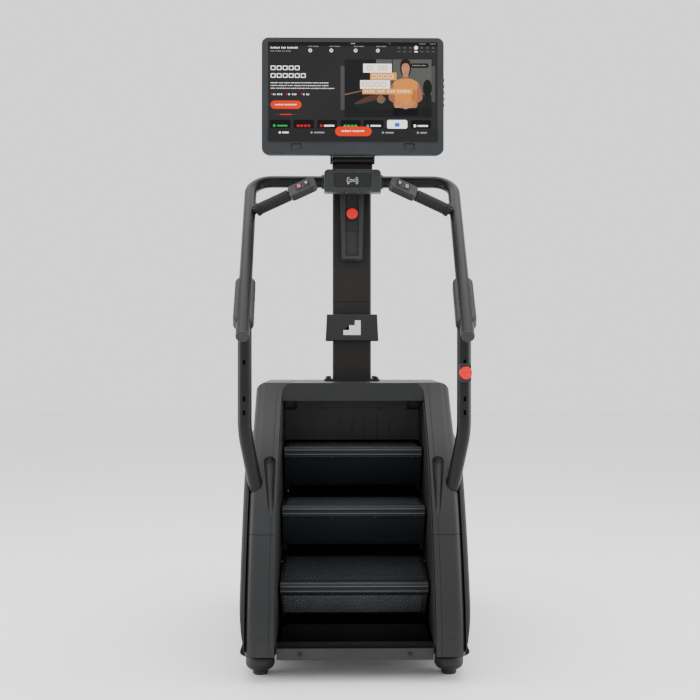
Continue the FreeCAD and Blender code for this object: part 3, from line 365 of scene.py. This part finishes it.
def nose_trim(number):
    """Extruded nose strip: four ridges on top, two rounded front beads, and three painted highlight lines on it:
    lighter strips along the top's front edge and the crests of the two beads.
    """
    bm = bmesh.new()
    place = step_place(number)
    profile = []
    front = -TREAD_DEPTH
    profile.append((front + NOSE_REACH, 0.0004))
    for index in range(RIDGES):
        y = front + NOSE_REACH - 0.004 - index * RIDGE_PITCH
        profile += [(y, 0.0004), (y - 0.0010, 0.0020), (y - 0.0030, 0.0020), (y - 0.0040, 0.0004)]
    for index in range(7):
        angle = math.radians(90 + 15 * index)
        profile.append((front + 0.0060 + NOSE_RADIUS * math.cos(angle), -0.0062 + NOSE_RADIUS * math.sin(angle)))
    profile += [(front - 0.0010, -0.0105), (front + 0.0008, -0.0120), (front + 0.0008, -0.0150),
                (front - 0.0010, -0.0165)]
    for index in range(7):
        angle = math.radians(180 + 15 * index)
        profile.append((front + 0.0060 + NOSE_RADIUS * math.cos(angle), -0.0210 + NOSE_RADIUS * math.sin(angle)))
    profile += [(front + 0.020, -0.0280), (front + 0.020, -0.0262), (front + 0.008, -0.0262)]
    profile += [(front + 0.0012, -0.0200), (front + 0.0012, -0.0070), (front + 0.0090, -0.0008),
                (front + NOSE_REACH, -0.0008)]
    rings = []
    for x in (-TREAD_HALF - 0.0005, TREAD_HALF + 0.0005):
        rings.append([bm.verts.new(place @ Vector((x, y, z))) for y, z in profile])
    count = len(profile)
    for index in range(count):
        follow = (index + 1) % count
        bm.faces.new((rings[0][index], rings[0][follow], rings[1][follow], rings[1][index]))
    bm.faces.new(rings[0])
    bm.faces.new(rings[1][::-1])
    bmesh.ops.triangulate(bm, faces=[face for face in bm.faces if len(face.verts) > 4])
    add_piece("nose_trim_%d" % number, mesh_of("nose_trim", bm), "step_%d" % number, NOSE)
    # Painted highlights: lighter strips where light catches the top's front edge and the two bead crests.
    bm = bmesh.new()
    length = 2 * TREAD_HALF - 0.002
    top_highlight = place @ Matrix.Translation((0, front + 0.0072, 0.0008))
    add_prism(bm, round_outline(length, 0.0050, 0.0020, 3), 0.0014, top_highlight, 0.0004)
    for height, width in ((-0.0065, 0.0030), (-0.0225, 0.0026)):
        line = place @ Matrix.Translation((0, front - 0.0006, height)) @ Matrix.Rotation(math.pi / 2, 4, "X")
        add_prism(bm, round_outline(length, width, 0.0012, 3), 0.0014, line, 0.0004)
    add_piece("nose_lines_%d" % number, mesh_of("nose_highlights", bm), "step_%d" % number, NOSE_HIGHLIGHT)


def riser_place(number):
    """Frame on the riser's face: X right, Y up the slope, Z out towards the user."""
    top = Vector((0, -0.246, -NOSE_HEIGHT))
    low = Vector((0, -0.166, -0.140))
    up = (top - low).normalized()
    out = Vector((1, 0, 0)).cross(up)
    turn = Matrix((
        (1, up.x, out.x, low.x),
        (0, up.y, out.y, low.y),
        (0, up.z, out.z, low.z),
        (0, 0, 0, 1),
    ))
    return step_place(number) @ turn, (top - low).length


def riser_details(number):
    """Two lips and four screws; the lowest riser also has a lighter raised field of bright small domes, which is
    painted bounce light from the floor it faces.
    """
    place, height = riser_place(number)
    bm = bmesh.new()
    add_prism(bm, round_outline(2 * TREAD_HALF - 0.004, 0.012, 0.003, 3), 0.0030,
              place @ Matrix.Translation((0, height - 0.010, 0)), 0.0010)
    add_prism(bm, round_outline(2 * TREAD_HALF - 0.004, 0.008, 0.003, 3), 0.0030,
              place @ Matrix.Translation((0, 0.006, 0)), 0.0010)
    add_piece("riser_lips_%d" % number, mesh_of("riser_lips", bm), "step_%d" % number, NOSE)
    bm = bmesh.new()
    for share in (-0.86, -0.30, 0.30, 0.86):
        spot = place @ Matrix.Translation((TREAD_HALF * share, height - 0.010, 0.0028))
        add_dome(bm, 0.0042, 0.0018, spot, 12)
    add_piece("riser_screws_%d" % number, mesh_of("riser_screws", bm), "step_%d" % number, SCREW, True)
    if number == 3:
        # Painted bounce light: the lighter field and bright domes stand for floor light falling on the lowest riser
        # only.
        bm = bmesh.new()
        field = place @ Matrix.Translation((0, height / 2 - 0.003, 0))
        add_prism(bm, round_outline(2 * TREAD_HALF - 0.006, height - 0.026, 0.004, 3), 0.0008, field, 0.0003)
        add_piece("riser_bounce_lit_field", mesh_of("riser_bounce_lit_field", bm), "step_3", GREY_TRIM_AND_RISER_BOUNCE_LIGHT)
        bm = bmesh.new()
        row_pitch = DOME_PITCH * 0.87
        across = int((2 * TREAD_HALF - 0.02) / DOME_PITCH)
        for row in range(int((height - 0.032) / row_pitch)):
            shift = DOME_PITCH / 2 if row % 2 else 0.0
            for column in range(across):
                x = -TREAD_HALF + 0.012 + column * DOME_PITCH + shift
                spot = place @ Matrix.Translation((x, 0.016 + row * row_pitch, 0.0006))
                add_dome(bm, 0.0034, 0.0022, spot, 6, 2)
        add_piece("riser_bounce_lit_domes", mesh_of("riser_bounce_lit_domes", bm), "step_3", BOUNCE_LIT_DOME, True)


# ---------------------------------------------------------------- screen picture
ACTIVE_WIDTH = 0.600
ACTIVE_BOTTOM = 1.772
ACTIVE_TOP = 2.123
PICTURE_Y = -0.1200
LAYER = 0.00008       # each layer of the picture lies this much in front of the last


class Picture:
    """Flat shapes laid on the display, placed by shares of its width and height."""

    def __init__(self):
        self.groups = {}
        self.layer = 0

    def up(self):
        """What follows lies over what came before."""
        self.layer += 1
        return self

    def spot(self, u, v):
        x = (u - 0.5) * ACTIVE_WIDTH
        z = ACTIVE_BOTTOM + v * (ACTIVE_TOP - ACTIVE_BOTTOM)
        return facing_user(x, PICTURE_Y - LAYER * self.layer, z)

    def outline(self, colour, points, u=0.0, v=0.0):
        bm = self.groups.setdefault(colour, bmesh.new())
        place = self.spot(u, v)
        bm.faces.new([bm.verts.new(place @ Vector((x, y, 0))) for x, y in points])

    def bar(self, colour, u0, u1, v0, v1, radius=0.0):
        width = (u1 - u0) * ACTIVE_WIDTH
        height = (v1 - v0) * (ACTIVE_TOP - ACTIVE_BOTTOM)
        points = round_outline(width, height, max(radius, 1e-5), 6)
        self.outline(colour, points, (u0 + u1) / 2, (v0 + v1) / 2)

    def disc(self, colour, u, v, radius, squash=1.0):
        self.outline(colour, disc_outline(radius, 28, squash), u, v)

    def shape(self, colour, points):
        """A closed outline given in shares of the display."""
        height = ACTIVE_TOP - ACTIVE_BOTTOM
        self.outline(colour, [(u * ACTIVE_WIDTH, v * height) for u, v in points], 0.5, 0.0)

    def words(self, colour, u0, u1, v0, v1, pieces, back=None):
        """A line of wording, shown only as rows of small plain blocks, hollow where a back colour is given."""
        self.up()
        height = (v1 - v0) * (ACTIVE_TOP - ACTIVE_BOTTOM)
        pitch = (1.35 if back else 0.9) * height / ACTIVE_WIDTH
        fill = 0.80 if back else 0.62
        rim = 0.18 * (v1 - v0)
        edge = 0.18 * height / ACTIVE_WIDTH
        gap = pitch * 0.8
        room = (u1 - u0) - gap * (len(pieces) - 1)
        low = v0 if back else v0 + 0.15 * (v1 - v0)
        left = u0
        for length in pieces:
            right = left + room * length / sum(pieces)
            count = max(1, round((right - left) / pitch))
            step = (right - left) / count
            for index in range(count):
                high = v1 if back or index % 3 != 1 else v0 + 0.8 * (v1 - v0)
                start = left + index * step
                self.bar(colour, start, start + step * fill, low, high, height * 0.16)
                if back:
                    self.layer += 1
                    self.bar(back, start + edge, start + step * fill - edge, v0 + rim, v1 - rim)
                    self.layer -= 1
            left = right + gap
        if back:
            self.up()


def curve_through(points, steps=6):
    """Smooth closed outline (Catmull-Rom) through a few points."""
    result = []
    count = len(points)
    for index in range(count):
        p0, p1, p2, p3 = (points[(index + shift) % count] for shift in (-1, 0, 1, 2))
        for step in range(steps):
            t = step / steps
            result.append(tuple(
                0.5 * (2 * b + (c - a) * t + (2 * a - 5 * b + 4 * c - d) * t * t + (3 * b - a - 3 * c + d) * t ** 3)
                for a, b, c, d in zip(p0, p1, p2, p3)
            ))
    return result


def draw_person(picture):
    """A calm generic figure: dark tied hair, orange top, folded hands, dark trousers."""
    ratio = ACTIVE_WIDTH / (ACTIVE_TOP - ACTIVE_BOTTOM)
    u, v = 0.811, 0.747      # between the brows
    waist = 0.515

    def local(points):
        return [(u - 0.5 + x / ratio, waist + y) for x, y in points]

    def mirror(points):
        return points + [(-x, y) for x, y in reversed(points)]

    hair = local(mirror([(0.0, 0.318), (0.040, 0.300), (0.054, 0.250), (0.050, 0.190), (0.030, 0.150)]))
    picture.up().shape("hair", curve_through(hair))
    trousers = local([(-0.120, 0.022 - 0.19), (0.120, 0.022 - 0.19), (0.128, -0.25), (-0.128, -0.25)])
    picture.up().shape("trousers", trousers)
    neck = local([(-0.022, 0.20), (0.022, 0.20), (0.030, 0.11), (0.0, 0.085), (-0.030, 0.11)])
    picture.up().shape("skin_shade", neck)
    arm = [(0.120, 0.075), (0.150, 0.030), (0.170, -0.060), (0.160, -0.100), (0.090, -0.145), (0.030, -0.170),
           (0.010, -0.150), (0.060, -0.115), (0.118, -0.080), (0.120, -0.030), (0.108, 0.020)]
    shoulders = mirror([(0.0, 0.115), (0.050, 0.112), (0.118, 0.085), (0.140, 0.045), (0.116, 0.0), (0.104, -0.060),
                        (0.108, -0.168)])
    for side in (1, -1):
        picture.up().shape("skin_shade", curve_through(local([(side * x, y) for x, y in arm])))
    top = curve_through(local(mirror([(0.024, 0.112), (0.050, 0.116), (0.112, 0.086), (0.122, 0.040), (0.108, -0.010),
                                      (0.100, -0.080), (0.112, -0.168), (0.060, -0.174)])), steps=4)
    picture.up().shape("skin_shade", curve_through(local(shoulders), steps=4))
    picture.up().shape("top_cloth", top)
    picture.up().shape("top_shade", curve_through(local([(0.040, 0.0), (0.100, 0.0), (0.104, -0.080), (0.108, -0.165),
                                                    (0.060, -0.170), (0.070, -0.080)])))
    for side in (1, -1):
        picture.up().shape("skin", curve_through(local([(side * x, y) for x, y in arm[4:8] + [(0.100, -0.122)]])))
    picture.up().disc("skin", u, 0.345, 0.011, 0.62)
    face = local(mirror([(0.0, 0.285), (0.026, 0.278), (0.039, 0.240), (0.038, 0.200), (0.027, 0.160),
                         (0.010, 0.142)]))
    picture.up().shape("skin", curve_through(face))
    fringe = local([(-0.040, 0.235), (-0.036, 0.275), (0.0, 0.296), (0.036, 0.275), (0.040, 0.235), (0.028, 0.262),
                    (0.0, 0.272), (-0.028, 0.262)])
    picture.up().shape("hair", curve_through(fringe))
    for side in (1, -1):
        eye = u + side * 0.0098
        picture.up().disc("eye_white", eye, v - 0.002, 0.0024, 0.55)
        picture.up().disc("hair", eye, v - 0.002, 0.0013)
        picture.up().bar("hair", eye - 0.0050, eye + 0.0050, v + 0.014, v + 0.0175, 0.0006)
    picture.up().bar("skin_shade", u - 0.0022, u + 0.0022, v - 0.040, v - 0.030, 0.001)
    picture.up().bar("lips", u - 0.0072, u + 0.0072, v - 0.066, v - 0.056, 0.0016)


def draw_picture():
    picture = Picture()
    picture.up().bar("ground", 0.0, 1.0, 0.0, 1.0)
    picture.up().bar("ground_dark", 0.0, 1.0, 0.965, 1.0)
    picture.up().bar("grey_text", 0.488, 0.514, 0.984, 0.994)
    picture.up().disc("grey_text", 0.718, 0.989, 0.0016)
    picture.words("grey_text", 0.893, 0.932, 0.982, 0.992, [1])
    picture.words("grey_text", 0.958, 0.990, 0.982, 0.992, [1])
    picture.words("white", 0.016, 0.178, 0.935, 0.953, [6, 3, 7])
    picture.words("grey_text", 0.016, 0.136, 0.904, 0.917, [3, 5, 2, 4])
    for u in (0.2486, 0.3729, 0.5163, 0.6477):
        picture.words("grey_text", u - 0.010, u + 0.052, 0.953, 0.965, [3, 4])
        picture.up().disc("white", u, 0.918, 0.0060)
        picture.up().disc("ground", u, 0.918, 0.0030)
    for index in range(7):
        u = 0.772 + 0.0338 * index
        chosen = index == 3
        picture.disc("white" if chosen else "grey_dim", u, 0.947, 0.0068 if chosen else 0.0040)
        picture.bar("white" if chosen else "grey_dim", u - 0.010, u + 0.010, 0.902, 0.914, 0.001)
    picture.words("white", 0.016, 0.193, 0.719, 0.763, [5], "ground")
    picture.words("white", 0.016, 0.229, 0.641, 0.686, [7], "ground")
    picture.words("white", 0.016, 0.357, 0.585, 0.595, [5, 3, 4, 6, 2, 5, 4, 6])
    picture.words("white", 0.016, 0.357, 0.557, 0.567, [4, 6, 3, 5, 2, 6, 3, 4])
    picture.words("white", 0.016, 0.392, 0.529, 0.539, [3, 7, 2, 4, 5, 3, 6, 4, 5])
    for u0, u1 in ((0.030, 0.087), (0.120, 0.170), (0.208, 0.246)):
        picture.up().bar("orange", u0 - 0.011, u0 - 0.007, 0.468, 0.484)
        picture.words("white", u0, u1, 0.464, 0.482, [2, 4])
    picture.up().bar("orange", 0.0142, 0.1974, 0.327, 0.411, 0.015)
    picture.words("white", 0.042, 0.170, 0.361, 0.376, [5, 7])
    picture.up().bar("grey_dim", 0.045, 0.170, 0.268, 0.272)
    picture.up().bar("orange", 0.073, 0.138, 0.266, 0.275)

    picture.up().bar("strip", 0.4276, 0.4510, 0.315, 0.761)
    picture.up().bar("scene_dark", 0.4510, 0.9665, 0.245, 0.826)
    picture.up().bar("scene_wall", 0.637, 0.9645, 0.400, 0.828)
    picture.up().bar("scene_wall_low", 0.560, 0.9645, 0.330, 0.470)
    picture.up().bar("scene_panel", 0.730, 0.737, 0.560, 0.828)
    picture.up().bar("strip", 0.9645, 0.9860, 0.400, 0.761)
    mat = curve_through([(0.005, 0.36), (0.06, 0.335), (0.15, 0.34), (0.245, 0.40), (0.20, 0.455), (0.10, 0.43),
                         (0.03, 0.40)])
    picture.up().shape("mat", mat)
    leg = curve_through([(0.008, 0.38), (0.07, 0.44), (0.13, 0.470), (0.19, 0.445), (0.185, 0.40), (0.12, 0.42),
                         (0.06, 0.385)])
    picture.up().shape("leg", leg)
    picture.up().shape("beam", [(-0.048, 0.465), (0.055, 0.505), (0.055, 0.517), (-0.048, 0.478)])
    ball = curve_through([(0.145, 0.40), (0.175, 0.385), (0.19, 0.43), (0.165, 0.47), (0.145, 0.44)])
    picture.up().shape("beam", ball)
    for index in range(9):
        angle = math.radians(20 + 40 * index)
        u = 0.940 + 0.013 * math.cos(angle)
        v = 0.54 + 0.050 * math.sin(angle)
        picture.up().disc("leaf", u, v, 0.0085, 1.5)
    picture.up().bar("leaf", 0.936, 0.941, 0.32, 0.50)
    picture.up().bar("leaf", 0.918, 0.958, 0.270, 0.350, 0.003)

    picture.up().bar("white", 0.561, 0.729, 0.694, 0.782)
    picture.words("caption", 0.585, 0.706, 0.716, 0.760, [2, 3], "white")
    picture.up().bar("caption", 0.602, 0.757, 0.618, 0.694)
    picture.words("cream", 0.614, 0.744, 0.634, 0.678, [8], "caption")
    picture.up().bar("white", 0.5433, 0.7187, 0.530, 0.616)
    picture.words("caption", 0.555, 0.705, 0.552, 0.596, [9], "white")
    draw_person(picture)
    picture.up().bar("caption", 0.5554, 0.854, 0.475, 0.530)
    picture.words("cream", 0.566, 0.842, 0.487, 0.518, [6, 4, 4, 7])
    picture.up().bar("ground_dark", 0.841, 0.946, 0.741, 0.786, 0.007)
    picture.words("grey_text", 0.850, 0.934, 0.757, 0.770, [4, 3])

    tiles = [(0.0121, 0.1328), (0.1506, 0.2699), (0.2905, 0.4062), (0.4276, 0.5447),
             (0.5646, 0.6811), (0.7024, 0.8203), (0.8409, 0.9602)]
    marks = ["green", "red", "red", "green", "cyan", "blue", "white"]
    for index, ((u0, u1), mark) in enumerate(zip(tiles, marks)):
        picture.up().bar("white" if mark == "blue" else "tile", u0, u1, 0.128, 0.214, 0.006)
        middle = (u0 + u1) / 2
        picture.up()
        if mark == "blue":
            picture.bar("blue", middle - 0.014, middle + 0.014, 0.146, 0.186, 0.001)
        elif index % 2:
            for slot in range(4):
                left = middle - 0.040 + slot * 0.021
                picture.bar(mark, left, left + 0.016, 0.143, 0.166, 0.001)
        else:
            picture.bar(mark, middle - 0.042, middle - 0.028, 0.143, 0.168, 0.0004)
            picture.bar("white" if index else mark, middle - 0.018, middle + 0.042, 0.147, 0.163, 0.001)
    picture.up().bar("nav", 0.0, 1.0, 0.0, 0.128)
    for u0, u1, colour in ((0.062, 0.122, "white"), (0.249, 0.332, "grey_text"), (0.669, 0.741, "grey_text"),
                           (0.875, 0.936, "grey_text")):
        picture.up().disc(colour, u0 + 0.008, 0.086, 0.0038)
        picture.up().bar(colour, u0 + 0.022, u1, 0.079, 0.093, 0.001)
    picture.up().bar("orange", 0.3956, 0.6108, 0.050, 0.147, 0.017)
    picture.words("white", 0.434, 0.570, 0.091, 0.109, [5, 6])

    for colour, bm in picture.groups.items():
        bmesh.ops.triangulate(bm, faces=bm.faces[:])
        mesh = bpy.data.meshes.new("picture_" + colour)
        bm.to_mesh(mesh)
        bm.free()
        tone, glow = SCREEN_COLOURS[colour]
        add_piece("picture_" + colour, mesh, "screen", lit("screen_" + colour, tone, glow))


# ---------------------------------------------------------------- trim on the fixed parts
def add_band(bm, outer, inner, depth, place):
    """A flat ring between two outlines of equal point count, raised by depth."""
    rings = []
    for outline, height in ((outer, 0.0), (outer, depth), (inner, depth), (inner, 0.0)):
        rings.append([bm.verts.new(place @ Vector((x, y, height))) for x, y in outline])
    count = len(outer)
    for first, second in zip(rings, rings[1:] + rings[:1]):
        for index in range(count):
            follow = (index + 1) % count
            bm.faces.new((first[index], first[follow], second[follow], second[index]))


def arc_outline(radius, width, start, end, steps=10):
    """Outline of a short curved stroke."""
    angles = [math.radians(start + (end - start) * index / steps) for index in range(steps + 1)]
    outer = [((radius + width / 2) * math.cos(a), (radius + width / 2) * math.sin(a)) for a in angles]
    inner = [((radius - width / 2) * math.cos(a), (radius - width / 2) * math.sin(a)) for a in reversed(angles)]
    return outer + inner


def finish_piece(name, bm, body, material):
    """Cut many-sided faces into triangles, so curved outlines stay true, and add the piece."""
    bmesh.ops.triangulate(bm, faces=[face for face in bm.faces if len(face.verts) > 4])
    add_piece(name, mesh_of(name, bm), body, material)


TRAY_FLOOR = -0.060
TRAY_HEIGHT = 1.644
TAB_FACE = -0.0709


def console_tray():
    """Pad in the tray with a plain signal mark, a thin line round it, and two ridges on the tab."""
    bm = bmesh.new()
    pad = facing_user(0, TRAY_FLOOR + 0.0001, TRAY_HEIGHT)
    add_prism(bm, round_outline(0.130, 0.044, 0.006), 0.0014, pad, 0.0006)
    finish_piece("tray_pad", bm, "base", DARK_FACE)
    bm = bmesh.new()
    add_band(bm, round_outline(0.186, 0.066, 0.014), round_outline(0.182, 0.062, 0.012), 0.0008,
             facing_user(0, -0.0648, TRAY_HEIGHT))
    add_prism(bm, round_outline(0.034, 0.0022, 0.001), 0.0012, facing_user(0, TAB_FACE, 1.6085), 0.0004)
    add_prism(bm, round_outline(0.028, 0.0022, 0.001), 0.0012, facing_user(0, TAB_FACE, 1.6040), 0.0004)
    finish_piece("console_lines", bm, "base", GREY_TRIM_AND_RISER_BOUNCE_LIGHT)
    bm = bmesh.new()
    face = facing_user(0, TRAY_FLOOR - 0.0012, TRAY_HEIGHT - 0.001)
    for side in (1, -1):
        ring_place = face @ Matrix.Translation((side * 0.0056, 0, 0))
        add_band(bm, disc_outline(0.0050), disc_outline(0.0036), 0.0006, ring_place)
        for radius in (0.0150, 0.0195):
            start = -42 if side == 1 else 138
            add_prism(bm, arc_outline(radius, 0.0014, start, start + 84), 0.0006, face)
    finish_piece("tray_mark", bm, "base", INK_WHITE)


def accent_emblem():
    """A plain flight of three stairs."""
    bm = bmesh.new()
    points = [(-0.032, -0.027), (0.032, -0.027), (0.032, 0.027), (0.0107, 0.027), (0.0107, 0.009),
              (-0.0107, 0.009), (-0.0107, -0.009), (-0.032, -0.009)]
    add_prism(bm, points, 0.0012, facing_user(0, 0.0722, 1.117))
    finish_piece("accent_emblem", bm, "base", INK_WHITE)


STOP_SPOTS = (("post", (0.0, 0.041, 1.538)), ("side", (0.354, -0.523, 0.961)))
WINDOW_HEIGHT = 1.493


def stop_faces():
    """Turning arrows and a ring moulded in each stop button's head."""
    for name, spot in STOP_SPOTS:
        face = facing_user(*spot)
        bm = bmesh.new()
        rim = face @ Matrix.Translation((0, 0, -0.0012))
        add_band(bm, disc_outline(0.0186, 32), disc_outline(0.0170, 32), 0.0006, rim)
        for index in range(3):
            turn = face @ Matrix.Rotation(2 * math.pi * index / 3, 4, "Z") @ Matrix.Translation((0, 0, -0.0001))
            add_prism(bm, arc_outline(0.0100, 0.0024, 20, 92), 0.0007, turn)
            add_prism(bm, [(0.0, 0.0068), (0.0, 0.0134), (-0.0052, 0.0101)], 0.0007, turn)
        finish_piece("stop_marks_" + name, bm, name + "_button", PALE_RED)


def post_window():
    """Dark sensor window under the post's stop button, with a rib on each side."""
    bm = bmesh.new()
    add_prism(bm, round_outline(0.027, 0.022, 0.003), 0.0012, facing_user(0, 0.0692, WINDOW_HEIGHT), 0.0005)
    finish_piece("post_window", bm, "base", DARK_FACE)
    bm = bmesh.new()
    for side in (1, -1):
        rib = facing_user(side * 0.0200, 0.0778, WINDOW_HEIGHT)
        add_prism(bm, round_outline(0.0030, 0.034, 0.0014), 0.0100, rib, 0.0008)
    finish_piece("post_ribs", bm, "base", paint("control_plastic"))


HEAD_PLACE = Vector((0.174440, -0.134901, 1.602830))
HEAD_ALONG = Vector((-0.907501, -0.133614, 0.398233))
HEAD_FACE = Vector((0.363700, -0.724263, 0.585803))


def head_frame(side):
    """Frame of a grip head: X inward along the grip, Z out of its key face. Side is 1 for the right one."""
    across = HEAD_FACE.cross(HEAD_ALONG)
    rows = []
    for axis in range(3):
        sign = side if axis == 0 else 1
        rows.append([sign * column[axis] for column in (HEAD_ALONG, across, HEAD_FACE, HEAD_PLACE)])
    rows.append((0, 0, 0, 1))
    return Matrix(rows)


def grip_keys():
    """Raised caps and small marks on the two rocker keys."""
    for side, label in ((1, "right"), (-1, "left")):
        face = head_frame(side)
        body = "rocker_" + label
        bm = bmesh.new()
        for x in (-0.010, 0.018):
            cap = face @ Matrix.Translation((x, 0, 0.0174))
            add_prism(bm, round_outline(0.020, 0.025, 0.003, 4), 0.0012, cap, 0.0005)
        finish_piece("key_caps_" + label, bm, body, DARK_FACE)
        bm = bmesh.new()
        up = face @ Matrix.Translation((0.018, 0, 0.0185))
        add_prism(bm, [(-0.004, -0.0035), (0.004, -0.0035), (0.0, 0.0045)], 0.0004, up)
        line = round_outline(0.012, 0.0016, 0.0006, 3)
        add_prism(bm, line, 0.0004, up @ Matrix.Translation((0, -0.0075, 0)))
        add_prism(bm, line, 0.0004, face @ Matrix.Translation((-0.010, -0.0085, 0.0185)))
        finish_piece("key_marks_" + label, bm, body, INK_WHITE)
        bm = bmesh.new()
        low = face @ Matrix.Translation((-0.010, 0.001, 0.0185))
        add_prism(bm, round_outline(0.013, 0.010, 0.002, 4), 0.0005, low)
        glow = KEY_GLOW if side == -1 else INK_GREY
        finish_piece("key_lamp_" + label, bm, body, glow)


SPEAKER_X = 0.200
SPEAKER_Z = 1.754
HOUSING_EDGE = 0.3222
EDGE_KEY_LOW = 1.902
EDGE_KEY_PITCH = 0.022


def screen_trim():
    """Speaker grilles in the lower edge and the row of keys on the right-hand edge."""
    bm = bmesh.new()
    rims = bmesh.new()
    for x in (-SPEAKER_X, SPEAKER_X):
        plate = facing_user(x, -0.1180, SPEAKER_Z)
        add_prism(bm, round_outline(0.0370, 0.0230, 0.0075), 0.0010, plate, 0.0004)
        for row in range(4):
            for column in range(8):
                shift = 0.0021 if row % 2 else 0.0
                x_mesh = -0.0155 + column * 0.0042 + shift
                spot = plate @ Matrix.Translation((x_mesh, -0.0078 + row * 0.0052, 0.0008))
                add_dome(bm, 0.0014, 0.0010, spot, 6, 2)
        outer = round_outline(0.0460, 0.0310, 0.0115, 6)
        inner = round_outline(0.0380, 0.0240, 0.0080, 6)
        add_band(rims, outer, inner, 0.0008, facing_user(x, -0.1248, SPEAKER_Z))
    finish_piece("speaker_mesh", bm, "screen", GREY_TRIM_AND_RISER_BOUNCE_LIGHT)
    finish_piece("speaker_rims", rims, "screen", paint("screen_plastic"))
    bm = bmesh.new()
    side_face = Matrix.Translation((HOUSING_EDGE, -0.1180, 0)) @ Matrix.Rotation(math.pi / 2, 4, "Y")
    for index in range(5):
        spot = side_face @ Matrix.Translation((-(EDGE_KEY_LOW + index * EDGE_KEY_PITCH), 0, 0))
        add_prism(bm, round_outline(0.0130, 0.0060, 0.0026, 4), 0.0022, spot, 0.0007)
    finish_piece("edge_keys", bm, "screen", paint("control_plastic"))


def cover_marks():
    """A small raised chevron low on each front cover."""
    for side, label in ((1, "right"), (-1, "left")):
        bm = bmesh.new()
        lean = Matrix.Rotation(math.radians(-3.5), 4, "X")
        place = Matrix.Translation((side * 0.297, -0.6158, 0.139)) @ lean @ Matrix.Rotation(math.pi / 2, 4, "X")
        points = [(-0.0125, -0.0050), (0.0, 0.0040), (0.0125, -0.0050), (0.0125, -0.0022), (0.0, 0.0068),
                  (-0.0125, -0.0022)]
        add_prism(bm, points, 0.0013, place)
        finish_piece("cover_chevron_" + label, bm, "base", DARK_FACE)


SCREEN_COLOURS = {
    "ground": ((0.032, 0.030, 0.031), 1.0),
    "ground_dark": ((0.013, 0.013, 0.013), 1.0),
    "nav": ((0.026, 0.026, 0.027), 1.0),
    "tile": ((0.008, 0.008, 0.009), 1.0),
    "strip": ((0.085, 0.085, 0.088), 1.0),
    "white": ((1.0, 1.0, 1.0), 1.7),
    "cream": ((1.0, 0.76, 0.44), 1.5),
    "caption": ((1.0, 0.42, 0.09), 1.1),
    "grey_text": ((0.40, 0.40, 0.41), 1.0),
    "grey_dim": ((0.10, 0.10, 0.105), 1.0),
    "orange": ((1.0, 0.036, 0.0), 1.1),
    "green": ((0.03, 0.50, 0.10), 1.0),
    "red": ((0.75, 0.012, 0.02), 1.0),
    "cyan": ((0.03, 0.38, 0.55), 1.0),
    "blue": ((0.02, 0.16, 0.90), 1.1),
    "scene_dark": ((0.017, 0.017, 0.018), 1.0),
    "scene_wall": ((0.115, 0.118, 0.105), 1.0),
    "scene_wall_low": ((0.022, 0.022, 0.023), 1.0),
    "scene_panel": ((0.040, 0.040, 0.040), 1.0),
    "mat": ((0.014, 0.024, 0.020), 1.0),
    "leg": ((0.10, 0.048, 0.035), 1.0),
    "beam": ((0.24, 0.14, 0.08), 1.0),
    "leaf": ((0.014, 0.018, 0.013), 1.0),
    "hair": ((0.030, 0.016, 0.012), 1.0),
    "skin": ((0.66, 0.27, 0.15), 1.0),
    "skin_shade": ((0.46, 0.17, 0.09), 1.0),
    "lips": ((0.40, 0.09, 0.06), 1.0),
    "eye_white": ((0.72, 0.66, 0.60), 1.0),
    "top_cloth": ((0.95, 0.33, 0.06), 1.0),
    "top_shade": ((0.66, 0.21, 0.04), 1.0),
    "trousers": ((0.006, 0.008, 0.014), 1.0),
}

paint_nodes()
RIB = grained("tread_rib", (0.027, 0.029, 0.032), 0.5, 1500.0, 0.08, gloss=0.25)
NOSE = grained("nose_strip", (0.0095, 0.0100, 0.0110), 0.45, 1500.0, 0.06, gloss=0.2)
# Painted highlight colour for the nose strips: lighter than the nose, standing for light caught on its edge and
# beads.
NOSE_HIGHLIGHT = grained("nose_highlight", (0.060, 0.063, 0.068), 0.35, 1500.0, 0.05, gloss=0.35)
# Lighter grey: painted bounce light on the lowest riser's field, plain grey trim on the console lines and speaker
# mesh.
GREY_TRIM_AND_RISER_BOUNCE_LIGHT = grained("riser_bounce_lit_field", (0.034, 0.037, 0.041), 0.5, 1500.0, 0.06, gloss=0.25)
INK_WHITE = grained("ink_white", (0.62, 0.62, 0.63), 0.45, 1200.0, 0.02, spread=0.03)
INK_GREY = grained("ink_grey", (0.20, 0.20, 0.21), 0.45, 1200.0, 0.02, spread=0.04)
DARK_FACE = grained("dark_face", (0.0060, 0.0065, 0.0070), 0.3, 1400.0, 0.02, gloss=0.3)
PALE_RED = grained("pale_red", (0.90, 0.012, 0.022), 0.35, 1200.0, 0.02, spread=0.05)
KEY_GLOW = lit("key_glow", (1.0, 0.06, 0.12), 1.6)
SCREW = brushed("screw_steel", (0.045, 0.045, 0.047), 0.4, (1, 1, 1))
# Bright dome colour: painted bounce light on the lowest riser.
BOUNCE_LIT_DOME = grained("riser_bounce_lit_dome", (0.130, 0.135, 0.145), 0.42, 1500.0, 0.06)

make_camera()
make_world()
make_stage()
for light in LIGHTS:
    make_light(*light)

for step in (1, 2, 3):
    tread_ribs(step)
    nose_trim(step)
    riser_details(step)
draw_picture()
console_tray()
accent_emblem()
stop_faces()
post_window()
grip_keys()
screen_trim()
cover_marks()
